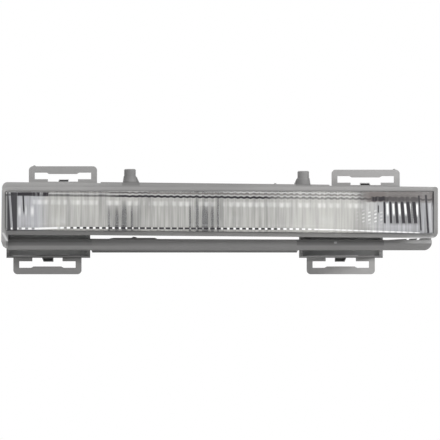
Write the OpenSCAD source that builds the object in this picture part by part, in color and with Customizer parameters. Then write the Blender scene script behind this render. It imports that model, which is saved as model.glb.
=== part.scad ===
// Daytime running light for a car bumper: a long lamp with a fluted clear lens, five reflector
// cells, a lower rail, four snap loops and two locating pegs.
// The lens faces -Y, the length runs along X and +Z is up. The origin is on the axis of the left
// locating peg, where its clear round shank meets the ribbed foot.
// Seen from above, the front is one arc that starts square to Y at the left end and sweeps back
// to the right. The flat inner parts lie along the chord of that arc.

/* [Housing] */
// Overall length of the lamp, end to end
lamp_length = 290; // [284:1:296]
// Distance from the left end to the left locating peg
peg_from_end = 85.5; // [83:0.5:88]
// Radius of the front arc, seen from above
front_r = 760; // [720:10:840]
// Depth from the lens face to the locating pegs
peg_setback = 20; // [19:0.5:22]
// Depth of the housing behind the chord of the front arc
body_depth = 26; // [25:0.5:29]
// Wall of the housing
wall = 2.4; // [2:0.1:2.8]
// Height that the housing top loses from the left end to the right end
top_drop = 3.3; // [2:0.1:4]
// Radius of the corner at the top left of the housing
body_corner_r = 3.8; // [3:0.1:4.5]
// Distance that the left side leans in from its foot to the top
side_lean = 0.45; // [0.2:0.05:0.7]
// Step from the rim back to the bottom of the trough
rim_step = 0.8; // [0.5:0.1:1.2]
// Step from the rim back to the right end of the trough
end_step = 3.6; // [3:0.1:3.7]
// Distance from the left end to the sealing fin on top
fin_from_left = 66; // [62:1:70]
// Distance from the right end to the sealing fin on top
fin_from_right = 72; // [68:1:76]

/* [Lens and rim] */
// Height of the lens at the left end
lens_h_left = 25.7; // [25:0.1:28]
// Height of the lens at the right end
lens_h_right = 28.1; // [26:0.1:30]
// Thickness of the lens
lens_t = 2; // [1.6:0.1:2.4]
// Depth of the lens skirt
lens_skirt = 9; // [8:0.25:10]
// Radius of the upright edge at the left end of the lens
lens_edge_left = 3; // [2:0.25:4]
// Radius of the upright edge at the right end of the lens
lens_edge_right = 5; // [3:0.25:6]
// Chamfer along the top and bottom edges of the lens face
lens_chamfer = 1; // [0.6:0.1:1.4]
// Pitch of the flutes along the lens
flute_pitch = 4.35; // [3.8:0.05:5.4]
// Height of a flute above the inner face of the lens
flute_rise = 0.6; // [0.4:0.05:0.8]
// Thickness of the rim around the lens, seen from the front
rim_wall = 2.65; // [2.2:0.05:3]
// Distance that the lens stands out in front of the rim
lens_proud = 4; // [3:0.25:4.5]
// Distance from the rim back to the front of the trough
shoulder = 4; // [3:0.25:4.5]
// Radius of the rim corners, seen from the front
rim_corner_r = 4; // [3.2:0.1:4.5]
// Radius of the rim corner at the top right
rim_corner_tr = 1.6; // [1.2:0.1:2.4]
// Thickness of the lip between the lens skirt and the reflector
lip_t = 0.9; // [0.7:0.05:1.2]
// Thickness of the sealant bead behind the lens skirt
bead_t = 0.6; // [0.4:0.05:0.9]
// Clearance between parts that slide into each other
fit_gap = 0.3; // [0.2:0.05:0.4]

/* [Locating pegs] */
// Radius of the round shank
peg_r = 3.85; // [3.5:0.05:4.2]
// Length of the clear round shank
peg_clear = 4.1; // [3.5:0.1:6]
// Chamfer at the tip
peg_chamfer = 0.6; // [0.4:0.1:0.9]
// Height of the ribbed foot above the housing
peg_foot_h = 4.9; // [4:0.1:6]
// Radius of the foot where it meets the housing
peg_foot_r = 5.1; // [4.8:0.1:6]
// Distance between the two pegs, along the length
peg_pitch = 115.1; // [110:0.1:120]

/* [Snap loops] */
// Width of a loop
loop_w = 45.3; // [43:0.1:48]
// Height of a loop above the part that carries it
loop_h = 10.9; // [10.5:0.1:13]
// Thickness of a loop, front to back
loop_t = 3; // [2.5:0.1:3.5]
// Width of the upright legs of a loop
loop_leg = 3.95; // [3:0.05:5]
// Height of the bar across a loop
loop_bar = 4.3; // [4:0.1:4.6]
// Extra height of the bar over its middle stretch
loop_bar_step = 0.9; // [0.4:0.1:1.1]
// Height of the shoulders at the two ends of the slot
loop_shoulder_h = 2.3; // [1.5:0.1:2.5]
// Width of each shoulder
loop_shoulder_w = 8.7; // [7:0.1:10]
// Width of the catch in the middle of the slot
catch_w = 8; // [6:0.1:9]
// Distance from the left end to the middle of the upper left loop
loop_top_left = 41; // [38:0.5:44]
// Distance from the right end to the middle of the upper right loop
loop_top_right = 48; // [46:0.5:52]
// Distance from the left end to the middle of the lower left loop
loop_low_left = 30.7; // [29:0.1:32]
// Distance from the right end to the middle of the lower right loop
loop_low_right = 64.5; // [63:0.5:66]

/* [Rail and brackets] */
// Gap between the lens body and the rail at the left end
rail_gap = 2.5; // [2:0.1:3]
// Height of the rail between the brackets
rail_h = 9.5; // [9:0.1:10]
// Height that the top of the rail loses from the left end to the right end
rail_drop = 1.2; // [0.8:0.1:1.6]
// Height that the rail loses where a bracket lies under it
rail_relief = 1.5; // [1:0.1:2]
// Depth of the rail, front to back
rail_depth = 11; // [9:0.5:12]
// Distance from the lens face back to the front of the rail
rail_setback = 9.5; // [8.5:0.25:10.5]
// Radius of the rounded front of the rail
rail_front_r = 6; // [5.4:0.1:8]
// Wall of the rail
rail_wall = 1.8; // [1.5:0.1:2.2]
// Width of each bracket pocket
bracket_w = 55.6; // [54:0.1:57]
// Distance from the right end to the right bracket
bracket_from_right = 36.6; // [35:0.1:38]
// Height of the strip of each bracket that shows under the rail
bracket_strip = 3.8; // [3.4:0.1:5]
// Thickness of the shelf along the bottom of a bracket
shelf_t = 1.2; // [1:0.1:1.6]
// Depth from the lens face to the front of the brackets
bracket_setback = 11; // [10:0.25:12]
// Distance that the side walls of a bracket stand behind its front
bracket_side_step = 3.5; // [3:0.25:5]
// Distance from the loops back to the rear face of a bracket
bracket_behind = 10; // [8:0.5:11]

/* [Reflector and light sources] */
// Distance from the left end of the chord to the middle of the first cell
cell_first = 41; // [40:0.5:42]
// Distance from the right end of the chord to the middle of the last cell
cell_last = 17.4; // [17:0.1:18]
// Depth from the lens face to the front edge of the reflector
reflector_setback = 7.2; // [6.8:0.1:8]
// Thickness of the reflector
reflector_t = 2; // [1.6:0.1:2.2]
// Distance from the bottom of a cell to the circuit board
cell_standoff = 1.9; // [1.7:0.1:2.4]
// Radius of the hole in each cell
cell_hole_r = 4.5; // [4:0.1:5]
// Width of a light source
led_w = 3.5; // [3:0.1:4]
// Thickness of the circuit boards
board_t = 1.6; // [1.2:0.1:2]
// Height of the circuit board of the light sources
board_h = 16; // [15:0.5:17]
// Thickness of the thermal pad
pad_t = 0.5; // [0.4:0.1:0.8]

/* [Heat sink] */
// Thickness of the heat sink bar
bar_t = 3; // [2.5:0.1:3.5]
// Height of the heat sink bar
bar_h = 18.4; // [17.4:0.1:18.6]
// Height of the fins
fin_h = 12.4; // [11:0.1:13]
// Distance that the fins stand out behind the housing
fin_reach = 14; // [10:0.5:18]
// Thickness of a fin
fin_t = 1.8; // [1.4:0.1:2.2]
// Pitch of the fins
fin_pitch = 5.6; // [5:0.1:7]
// Width of the web between two windows in the rear wall
window_web = 15.3; // [14.5:0.1:18]
// Thickness of the gasket
gasket_t = 0.6; // [0.4:0.1:1]
// Radius of the long screws
screw_r = 1.5; // [1.2:0.05:1.7]

/* [Driver box] */
// Width of the driver box
box_w = 54.5; // [53.5:0.5:55]
// Distance from the left end to the driver box
box_from_end = 5; // [4.5:0.5:5.5]
// Height of the driver box
box_h = 28; // [27:0.1:28.5]
// Distance that the driver box stands out behind the housing at its left side
box_reach = 25; // [24:0.5:28]
// Thickness of the rear cover
cover_t = 3; // [2.5:0.1:3.5]
// Width of the ears that take the cover screws
ear_w = 5; // [4.5:0.1:5.5]
// Width of the connector socket, inside
socket_w = 18; // [16:0.5:20]
// Height of the connector socket, inside
socket_h = 11; // [10.5:0.1:12]
// Depth of the connector socket
socket_depth = 14; // [12:0.5:16]
// Wall of the connector socket
socket_wall = 1.8; // [1.5:0.1:2]
// Distance from the wall of the driver box to the link wires
link_from_wall = 8; // [7.5:0.25:9]
// Radius of the vent cap
vent_r = 6; // [5:0.1:7]
// Height of the vent cap
vent_h = 6.5; // [5:0.1:8]

/* [Hidden] */
$fn = 64;
arc_fn = 1440;
cut = 1;
tall = 200;
blend = 0.996;

// Plan of the lamp: the front arc, its chord and the rear line parallel to the chord
x_left = -peg_from_end;
x_right = x_left + lamp_length;
arc_y = sqrt(front_r * front_r - peg_from_end * peg_from_end) - peg_setback;
function front_y(x, depth = 0) = arc_y - sqrt(pow(front_r - depth, 2) - pow(x - x_left, 2));
y_left = front_y(x_left);
y_right = front_y(x_right);
chord_a = atan2(y_right - y_left, lamp_length);
chord_len = norm([lamp_length, y_right - y_left]);
chord_arc_v = sqrt(front_r * front_r - chord_len * chord_len / 4);
function chord_front(u, depth = 0) =
    chord_arc_v - sqrt(pow(front_r - depth, 2) - pow(u - chord_len / 2, 2));
function chord_x(u, v) = x_left + u * cos(chord_a) - v * sin(chord_a);
function chord_y(u, v) = y_left + u * sin(chord_a) + v * cos(chord_a);
function rear_y(x, inset = 0) =
    y_left + (x - x_left) * tan(chord_a) + (body_depth - inset) / cos(chord_a);
function middle_y(x) = (front_y(x) + rear_y(x)) / 2;

// Heights: the top slopes down to the right, and the rim keeps the height of its right end
function top_z(x) = -peg_foot_h - x * top_drop / lamp_length;
rim_top = top_z(x_right);
lens_inset = rim_wall + fit_gap;
function lens_h(x) = lens_h_left + (x - x_left) * (lens_h_right - lens_h_left) / lamp_length;
function rim_bottom(x) = rim_top - 2 * lens_inset - lens_h(x);
function trough_bottom(x) = rim_bottom(x) + rim_step;
trough_right = x_right - end_step;
bottom_slope = atan2(lens_h_right - lens_h_left, lamp_length);

// Insets from the rim edge to the parts inside it, and depths behind the lens face
skirt_inset = lens_inset + lens_t;
lip_inset = skirt_inset + fit_gap;
mouth_inset = lip_inset + lip_t;
reflector_inset = mouth_inset + fit_gap;
shoulder_depth = lens_proud + shoulder;
channel_depth = lens_skirt + bead_t;
lip_depth = channel_depth - 3;
ledge_depth = channel_depth + wall;

// Flutes
flute_r = (flute_pitch * flute_pitch / 4 + flute_rise * flute_rise) / (2 * flute_rise);
flute_a = asin(flute_pitch * 0.985 / (front_r - lens_t));
flute_start = asin((mouth_inset + flute_pitch / 2) / front_r);
flute_end = asin((lamp_length - mouth_inset - flute_pitch / 2) / front_r);
flute_count = floor((flute_end - flute_start) / flute_a) + 1;

// Stack of the inner parts along the chord, from the rear wall forward
gasket_v = body_depth - wall - gasket_t;
bar_v = gasket_v - bar_t;
pad_v = bar_v - pad_t;
board_v = pad_v - board_t;
apex_v = board_v - cell_standoff;
led_z = (rim_top + rim_bottom((x_left + x_right) / 2)) / 2;
bar_left = 15;
bar_right = chord_len - 3.5;
board_right = chord_len - 8;
cell_count = 5;
seam_count = cell_count - 1;
cell_pitch = (chord_len - cell_first - cell_last) / seam_count;
window_w = cell_pitch - window_web;
function cell_u(i) = cell_first + i * cell_pitch;
function seam_u(i) = cell_first + (i + 0.5) * cell_pitch;

// Cells: each is a paraboloid that reaches half a pitch at the front edge of the reflector
cell_half = cell_pitch / 2;
function cell_depth(i) =
    apex_v - min(chord_front(cell_u(i) - cell_half), chord_front(cell_u(i) + cell_half))
    - reflector_setback;
function cell_factor(i) = cell_half * cell_half / cell_depth(i);
cell_steps = 12;

// Loops, brackets and rail
loop_left_y = middle_y(x_left + (loop_top_left + loop_low_left) / 2);
loop_right_y = middle_y(x_right - (loop_top_right + loop_low_right) / 2);
bracket_left_x = x_left + 3.5;
bracket_right_x = x_right - bracket_from_right - bracket_w;
rail_top = rim_bottom(x_left) - rail_gap;
rail_bottom = rail_top - rail_h;
bracket_bottom = rail_bottom + rail_relief - bracket_strip - shelf_t;
rail_left_x = bracket_left_x + 0.3;
rail_right_x = x_right - 4;
rail_end_r = 5.5;
function rail_z(x) = rail_top - rail_drop * (x - x_left) / lamp_length;

// Left side: it leans in from the foot of the end plate to the top
end_low = rail_bottom + rail_relief + 1.4;
end_foot = end_low + 4.6;
side_step = 0.2;
function side_x(z) = x_left + side_lean * (z - end_foot) / (top_z(x_left) - end_foot);

// Driver box
box_left_x = x_left + box_from_end;
box_right_x = box_left_x + box_w;
box_top = led_z + box_h / 2;
box_y = rear_y(box_left_x) + box_reach;
seal_t = 1;
cover_y = box_y + seal_t;
cover_back = cover_y + cover_t;
driver_inset = 7;
driver_play = 2;
driver_y = box_y - driver_inset;
driver_w = box_w - 2 * (wall + driver_play);
driver_h = box_h - 2 * wall - 3;
fitting_gap = 4;
socket_x = box_left_x + wall + socket_w / 2 + fitting_gap;
vent_x = box_right_x - wall - vent_r - fitting_gap;
socket_z = led_z;
terminal_t = 0.8;
terminal_w = 1.8;
terminal_pitch = 4.2;
terminal_count = 4;
terminal_short = 5;

// Screws, link wires and the gap left of the first cell
cover_screw_r = 1.25;
cover_screw_grip = 6;
board_screw_r = 1;
link_pitch = 3;
link_r = 0.6;
link_x = box_right_x - wall - link_from_wall;
link_u = (link_x - x_left + bar_v * sin(chord_a)) / cos(chord_a);
first_cell_gap = 3;

// A prism along Y from an outline drawn in X and Z
module front_prism(y0, y1) {
    translate([0, y1, 0]) rotate([90, 0, 0]) linear_extrude(y1 - y0) children();
}

// What lies between two depths behind the lens face, over the full height
module depth_band(depth0, depth1) {
    translate([x_left, arc_y, -tall / 2]) linear_extrude(tall) difference() {
        circle(r = front_r - depth0, $fn = arc_fn);
        circle(r = front_r - depth1, $fn = arc_fn);
    }
}

// What lies behind a depth and in front of the rear line
module plan_zone(depth, rear_inset = 0) {
    translate([0, 0, -tall / 2]) linear_extrude(tall) intersection() {
        translate([x_left, arc_y]) circle(r = front_r - depth, $fn = arc_fn);
        polygon([
            [x_left - cut, y_left - cut], [x_right + cut, y_left - cut],
            [x_right + cut, rear_y(x_right + cut, rear_inset)],
            [x_left - cut, rear_y(x_left - cut, rear_inset)]
        ]);
    }
}

// The sliver between a sharp corner and its rounding. The circle crosses the two edges at a
// shallow angle, set by blend, so that it never only touches them.
module corner_sliver(before, corner, after, r) {
    a = (before - corner) / norm(before - corner);
    b = (after - corner) / norm(after - corner);
    half = acos(a * b) / 2;
    reach = r * blend / tan(half);
    centre = corner + (a + b) / norm(a + b) * r * blend / sin(half);
    difference() {
        polygon([corner + (corner - centre) / 2, corner + a * reach, centre, corner + b * reach]);
        translate(centre) circle(r = r);
    }
}

module rounded_outline(points, radii) {
    n = len(points);
    difference() {
        polygon(points);
        for (i = [0:n - 1])
            corner_sliver(points[(i + n - 1) % n], points[i], points[(i + 1) % n], radii[i]);
    }
}

// Outline of the rim, seen from the front, and of all that nests inside it
module rim_outline(inset, extra_left = 0) {
    r = max(rim_corner_r - inset, 0.8);
    left = x_left + inset + extra_left;
    right = x_right - inset;
    rounded_outline(
        [[left, rim_bottom(left) + inset], [right, rim_bottom(right) + inset],
         [right, rim_top - inset], [left, rim_top - inset]],
        [r, r, max(rim_corner_tr - inset, 0.8), r]);
}

// Outline of the trough behind the rim
module trough_outline(inset) {
    r = max(rim_corner_r - rim_step - inset, 0.8);
    low_left = side_x(trough_bottom(x_left)) + side_step + inset;
    top_left = side_x(top_z(x_left)) + side_step + inset;
    right = trough_right - inset;
    rounded_outline(
        [[low_left, trough_bottom(low_left) + inset], [right, trough_bottom(right) + inset],
         [right, top_z(right) - inset], [top_left, top_z(top_left) - inset]],
        [r, r, r, max(body_corner_r - inset, 0.8)]);
}

module in_band(depth0, depth1) {
    intersection() {
        front_prism(y_left - tall, y_right + tall) children();
        depth_band(depth0, depth1);
    }
}

module chord_frame() {
    translate([x_left, y_left, 0]) rotate([0, 0, chord_a]) children();
}

// A block in the chord frame, given by its corners
module chord_block(u0, u1, v0, v1, z0, z1) {
    chord_frame() translate([u0, v0, z0]) cube([u1 - u0, v1 - v0, z1 - z0]);
}

// A bar through the chord frame along its depth
module chord_rod(u, z, v0, v1, r) {
    chord_frame() translate([u, v0, z]) rotate([-90, 0, 0]) cylinder(r = r, h = v1 - v0);
}

// A rod along Y
module y_rod(x, z, y0, y1, r) {
    translate([x, y0, z]) rotate([-90, 0, 0]) cylinder(r = r, h = y1 - y0);
}

module block(x0, x1, y0, y1, z0, z1) {
    translate([x0, y0, z0]) cube([x1 - x0, y1 - y0, z1 - z0]);
}

// One snap loop, standing on z = 0 and centred on x = 0, with the floor of its slot at base
module loop_plate(base) {
    half = loop_w / 2;
    slot = half - loop_leg;
    step_x = slot - loop_shoulder_w;
    corner = 2.8;
    sink = 1.8;
    bar_low = loop_h - loop_bar;
    front_prism(-loop_t / 2, loop_t / 2) difference() {
        rounded_outline([[-half, -sink], [half, -sink], [half, loop_h], [-half, loop_h]],
            [0.5, 0.5, corner, corner]);
        polygon([
            [-slot, loop_shoulder_h], [-step_x, loop_shoulder_h], [-step_x, base],
            [step_x, base], [step_x, loop_shoulder_h], [slot, loop_shoulder_h],
            [slot, bar_low], [step_x + 0.8, bar_low], [step_x - 0.8, bar_low - loop_bar_step],
            [-step_x + 0.8, bar_low - loop_bar_step], [-step_x - 0.8, bar_low], [-slot, bar_low]
        ]);
    }
}

// Catch in the middle of a loop: a hollow wedge, open to the front, with one slanted side
module loop_catch(side, height) {
    half = catch_w / 2;
    skin = 0.5;
    front = 0.6 - loop_t / 2;
    length = 6;
    slant = 1.4;
    sink = 1;
    mirror([side, 0, 0]) difference() {
        front_prism(front, length) polygon([
            [-half, -sink], [half, -sink], [half, height], [-half + slant, height]
        ]);
        front_prism(front - cut, length - skin) polygon([
            [-half + skin, 0.1], [half - skin, 0.1], [half - skin, height - skin],
            [-half + skin + slant, height - skin]
        ]);
    }
}

// Loop on top of the housing, with the nub of the moulding gate near its outer corner
module upper_loop(side) {
    nub_from_end = 3.7;
    nub_r = 1.2;
    loop_plate(0.7);
    loop_catch(side, loop_shoulder_h);
    mirror([side, 0, 0]) y_rod(nub_from_end - loop_w / 2, loop_h - nub_r / 2, 0.3 - loop_t / 2,
        loop_t / 2 - 0.3, nub_r);
}

// Loop under a bracket, drawn upright
module lower_loop(side) {
    loop_plate(-0.3);
    loop_catch(side, loop_shoulder_h + 0.3);
}

// Locating peg with a flared foot and one gusset, its shank from z = 0 upward
module locating_peg(side) {
    sink = 1;
    shoulder_r = peg_r + 0.3;
    gusset_t = 1.6;
    gusset_low = peg_foot_r + 1.4;
    gusset_high = shoulder_r + 0.4;
    gusset_top = -0.6;
    cylinder(r = peg_r, h = peg_clear);
    translate([0, 0, peg_clear]) cylinder(r1 = peg_r, r2 = peg_r - peg_chamfer, h = peg_chamfer);
    translate([0, 0, -peg_foot_h - sink])
        cylinder(r1 = peg_foot_r, r2 = shoulder_r, h = peg_foot_h + sink);
    mirror([side, 0, 0]) front_prism(-gusset_t / 2, gusset_t / 2) polygon([
        [0, -peg_foot_h - sink], [gusset_low, -peg_foot_h - sink], [gusset_low, -peg_foot_h],
        [gusset_high, gusset_top], [0, gusset_top]
    ]);
}

// Lower rail: a channel with a rounded front, open at the back
module rail_section(inset) {
    height = rail_h + rail_gap;
    back_h = 2.2 * rail_front_r;
    z_mid = (rail_top + rail_bottom) / 2;
    front = front_r - rail_setback - inset;
    translate([x_left, arc_y, 0]) rotate([0, 0, -92]) rotate_extrude(angle = 32, $fn = arc_fn)
        intersection() {
            translate([front - rail_front_r, z_mid]) circle(r = rail_front_r);
            translate([front - rail_front_r, z_mid - height]) square([rail_front_r + cut, 2 * height]);
        }
    translate([x_left, arc_y, 0]) rotate([0, 0, -92]) rotate_extrude(angle = 32, $fn = arc_fn)
        translate([front_r - rail_setback - rail_depth - inset, z_mid - back_h / 2])
            square([rail_depth - rail_front_r + cut, back_h]);
}

// Outline of the rail, with a lower strip between the brackets and a raised stretch on top
module rail_outline(inset) {
    left = rail_left_x + inset;
    right = rail_right_x - inset;
    high = rail_bottom + rail_relief + inset;
    low = rail_bottom + inset;
    strip_left = bracket_left_x + bracket_w + inset;
    strip_right = bracket_right_x - inset;
    step = 1.5;
    rise = 0.6;
    rise_left = x_left + 71.5 + inset;
    rise_right = x_left + 103.5 - inset;
    rise_z = rail_z(rise_left) + rise - inset;
    rounded_outline(
        [[left, high], [right, high], [right, rail_z(right) - inset], [left, rail_z(left) - inset]],
        [0.5, rail_end_r - inset, 0.5, 0.5]);
    polygon([[strip_left, high + step], [strip_left + step, low], [strip_right - step, low],
        [strip_right, high + step]]);
    polygon([[rise_left, high], [rise_right, high], [rise_right, rise_z - rise],
        [rise_right - step, rise_z], [rise_left + 2 * step, rise_z], [rise_left, rise_z - rise]]);
}

module rail() {
    difference() {
        intersection() {
            front_prism(y_left - tall, y_right + tall) rail_outline(0);
            rail_section(0);
        }
        intersection() {
            front_prism(y_left - tall, y_right + tall) rail_outline(rail_wall);
            rail_section(rail_wall);
        }
    }
    rail_nub();
}

// Small stop on top of the raised stretch of the rail
module rail_nub() {
    nub_x = x_left + 87.7;
    nub_w = 4;
    nub_h = 1.1;
    base = rail_z(nub_x);
    in_band(rail_setback + rail_front_r, rail_setback + rail_depth - 1) polygon([
        [nub_x - nub_w, base - 1], [nub_x + nub_w, base - 1], [nub_x + nub_w / 2, base + nub_h],
        [nub_x, base + nub_h + 0.3]
    ]);
}

// Pocket under the lens body that carries a lower loop: back plate, sides and shelf
module bracket(x0, loop_y) {
    x1 = x0 + bracket_w;
    back = loop_y + bracket_behind;
    intersection() {
        difference() {
            front_prism(y_left, back) polygon([
                [x0, bracket_bottom], [x1, bracket_bottom],
                [x1, trough_bottom(x1) + 0.5], [x0, trough_bottom(x0) + 0.5]
            ]);
            front_prism(y_left - cut, back - wall) polygon([
                [x0 + wall, bracket_bottom + shelf_t], [x1 - wall, bracket_bottom + shelf_t],
                [x1 - wall, 0], [x0 + wall, 0]
            ]);
            in_band(0, bracket_setback + bracket_side_step) polygon([
                [x0 - cut, bracket_bottom + shelf_t], [x1 + cut, bracket_bottom + shelf_t],
                [x1 + cut, 0], [x0 - cut, 0]
            ]);
        }
        plan_zone(bracket_setback, -tall);
    }
}

// Plate at the left end that reaches from the rim down over the end of the rail
module end_plate() {
    right = bracket_left_x + 1;
    high = rim_bottom(x_left) + rim_corner_r + cut;
    intersection() {
        front_prism(y_left - cut, loop_left_y + bracket_behind) polygon([
            [x_left, high], [x_left, end_foot], [x_left + 1.1, end_low + 1.3],
            [x_left + 2.9, end_low], [right, end_low], [right, rim_bottom(x_left) + 0.5],
            [x_left + wall, high]
        ]);
        plan_zone(lens_proud, -tall);
    }
}

// What lies outside the leaning left side, from the foot of the end plate upward
module outside_left() {
    over = top_z(x_left) + cut;
    front_prism(y_left - tall, y_right + tall) polygon([
        [x_left - cut, end_foot], [x_left, end_foot], [side_x(over), over], [x_left - cut, over]
    ]);
}

// Web that closes the gap above the rail towards its right end, with two slanted slots
module rail_web() {
    start = rail_right_x - 29;
    meet = rail_right_x - 5.5;
    end = rail_right_x - 0.4;
    slot_w = 1.6;
    lean = 1.5;
    depth0 = rail_setback + 3.5;
    depth1 = rail_setback + rail_depth - 2;
    in_band(depth0, depth1) difference() {
        polygon([
            [start, rail_z(start) - 1.5], [end, rail_z(end) - 1.5],
            [end, trough_bottom(end) + 1.5], [meet, trough_bottom(meet) + 1.5],
            [meet, rim_bottom(meet)], [start, rail_z(start) + 0.05]
        ]);
        for (x = [rail_right_x - 17.5, rail_right_x - 10.8])
            polygon([
                [x, rail_z(x) - cut], [x + slot_w, rail_z(x) - cut],
                [x + slot_w + lean, rim_bottom(x) + 0.4], [x + lean, rim_bottom(x) + 0.4]
            ]);
    }
}

// Thin sealing fin along the top
module top_fin() {
    rise = 0.7;
    thick = 0.8;
    front = shoulder_depth + 4;
    x0 = x_left + fin_from_left;
    x1 = x_right - fin_from_right;
    nub_x = (x0 + x1) / 2 + 40;
    in_band(front, front + thick) polygon([
        [x0, top_z(x0) - 0.5], [x1, top_z(x1) - 0.5], [x1, top_z(x1) + rise], [x0, top_z(x0) + rise]
    ]);
    in_band(front - 0.4, front + 1.6) polygon([
        [nub_x - 0.8, top_z(nub_x) - 0.5], [nub_x + 0.8, top_z(nub_x) - 0.5],
        [nub_x + 0.7, top_z(nub_x) + 1.3], [nub_x - 0.7, top_z(nub_x) + 1.3]
    ]);
}

module box_outline(inset) {
    r = max(3 - inset, 1);
    bottom = box_top - box_h;
    rounded_outline(
        [[box_left_x + inset, bottom + inset], [box_right_x - inset, bottom + inset],
         [box_right_x - inset, box_top - inset], [box_left_x + inset, box_top - inset]],
        [r, r, r, r]);
}

function ear_x(side) = side < 0 ? box_left_x - ear_w / 2 + 0.5 : box_right_x + ear_w / 2 - 0.5;
function ear_z(side) = led_z + side * (box_h / 2 - ear_w / 2 - 1);

// Flange outline of the driver box, with an ear for each of the four screws
module flange_outline() {
    box_outline(0);
    for (sx = [-1, 1])
        for (sz = [-1, 1]) {
            translate([ear_x(sx), ear_z(sz)]) circle(r = ear_w / 2);
            translate([sx < 0 ? ear_x(sx) : box_right_x - 2, ear_z(sz) - ear_w / 2])
                square([sx < 0 ? box_left_x + 2 - ear_x(sx) : ear_x(sx) - box_right_x + 2, ear_w]);
        }
}

module housing() {
    ear_depth = 9;
    color([0.62, 0.62, 0.61]) difference() {
        union() {
            difference() {
                union() {
                    intersection() {
                        front_prism(y_left - cut, y_right + tall) trough_outline(0);
                        plan_zone(shoulder_depth);
                    }
                    difference() {
                        union() {
                            in_band(lens_proud, ledge_depth - 1) rim_outline(0);
                            end_plate();
                        }
                        outside_left();
                    }
                    front_prism(rear_y(box_left_x) - 4, box_y) box_outline(0);
                    front_prism(box_y - ear_depth, box_y) flange_outline();
                    bracket(bracket_left_x, loop_left_y);
                    bracket(bracket_right_x, loop_right_y);
                    rail_web();
                    top_fin();
                }
                difference() {
                    in_band(0, channel_depth) rim_outline(rim_wall);
                    in_band(lip_depth, channel_depth + cut) rim_outline(lip_inset);
                }
                in_band(0, ledge_depth + cut) rim_outline(mouth_inset);
                intersection() {
                    front_prism(y_left - cut, y_right + tall) trough_outline(wall);
                    plan_zone(ledge_depth, wall);
                }
                front_prism(rear_y(box_left_x) - 12, box_y + cut) box_outline(wall);
            }
            rail();
            locating_peg(0);
            translate([peg_pitch, front_y(peg_pitch) + peg_setback, top_z(peg_pitch) + peg_foot_h])
                locating_peg(1);
            place_loops();
        }
        for (i = [1:cell_count - 1]) window_cut(i);
        for (i = [0:seam_count - 1])
            chord_rod(seam_u(i), led_z, body_depth - wall - cut, body_depth + cut, screw_r + 0.2);
        for (sx = [-1, 1])
            for (sz = [-1, 1])
                y_rod(ear_x(sx), ear_z(sz), box_y - cover_screw_grip - 1, box_y + cut,
                    cover_screw_r);
    }
}

module place_loops() {
    x_low_left = x_left + loop_low_left;
    x_low_right = x_right - loop_low_right;
    x_top_left = x_left + loop_top_left;
    x_top_right = x_right - loop_top_right;
    translate([x_top_left, loop_left_y, top_z(x_top_left)]) upper_loop(0);
    translate([x_top_right, loop_right_y, top_z(x_top_right)]) upper_loop(1);
    translate([x_low_left, loop_left_y, bracket_bottom]) mirror([0, 0, 1]) lower_loop(0);
    translate([x_low_right, loop_right_y, bracket_bottom]) mirror([0, 0, 1]) lower_loop(1);
}

// Windows in the rear wall for the fins, one behind each cell but the first
function window_half(i) = i < cell_count - 1 ? window_w / 2 : window_w * 0.34;
module window_cut(i) {
    h = fin_h + 2 * fit_gap;
    chord_block(cell_u(i) - window_half(i), cell_u(i) + window_half(i),
        body_depth - wall - cut, body_depth + cut, led_z - h / 2, led_z + h / 2);
}

// Clear cover with rounded upright ends, a skirt all round and flutes on the inner face
module lens_plan(depth, inset, r_left, r_right) {
    left = x_left + inset;
    right = x_right - inset;
    difference() {
        intersection() {
            translate([x_left, arc_y]) circle(r = front_r - depth, $fn = arc_fn);
            translate([left, y_left - cut]) square([right - left, y_right - y_left + tall]);
        }
        lens_corner(left, 1, front_r - depth, r_left);
        lens_corner(right, -1, front_r - depth, r_right);
    }
}

// The sliver outside a rounded upright edge, where the front arc meets an end wall
module lens_corner(x, side, arc, r) {
    reach = r * blend;
    cx = x + side * reach;
    cy = arc_y - sqrt(pow(arc - reach, 2) - pow(cx - x_left, 2));
    way = ([cx, cy] - [x_left, arc_y]) / (arc - reach);
    touch = [cx, cy] + way * reach;
    ahead = touch + way * r;
    difference() {
        polygon([[x, cy], [cx, cy], touch, ahead, [x - side * r, ahead[1]], [x - side * r, cy - 0.1]]);
        translate([cx, cy]) circle(r = r);
    }
}

module lens_body(depth, inset, r_left, r_right, back) {
    intersection() {
        translate([0, 0, -tall / 2]) linear_extrude(tall) lens_plan(depth, inset, r_left, r_right);
        in_band(depth - cut, back) rim_outline(inset);
    }
}

// A ring of triangular section that bevels an edge of the lens face
module edge_bevel() {
    rotate([0, 0, -94]) rotate_extrude(angle = 32, $fn = arc_fn) polygon([
        [front_r - lens_chamfer, 0], [front_r - lens_chamfer, cut],
        [front_r + cut, cut], [front_r + cut, -lens_chamfer - cut]
    ]);
}

module flutes() {
    intersection() {
        translate([x_left, arc_y, -tall / 2]) linear_extrude(tall) intersection() {
            union() for (i = [0:flute_count - 1]) {
                a = flute_start + i * flute_a;
                reach = front_r - lens_t - flute_rise + flute_r;
                translate([reach * sin(a), -reach * cos(a)]) circle(r = flute_r);
            }
            circle(r = front_r - lens_t + 0.1, $fn = arc_fn);
        }
        front_prism(y_left - cut, y_right + tall) rim_outline(skirt_inset + 1);
    }
}

module outer_lens() {
    color([0.9, 0.93, 0.95, 0.45]) union() {
        difference() {
            lens_body(0, lens_inset, lens_edge_left, lens_edge_right, lens_skirt);
            lens_body(lens_t, skirt_inset, lens_edge_left - lens_t / 2, lens_edge_right - lens_t / 2,
                lens_skirt + cut);
            translate([x_left, arc_y, rim_top - lens_inset]) edge_bevel();
            translate([x_left, arc_y, rim_bottom(x_left) + lens_inset])
                rotate([0, bottom_slope, 0]) mirror([0, 0, 1]) edge_bevel();
        }
        flutes();
    }
}

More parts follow.
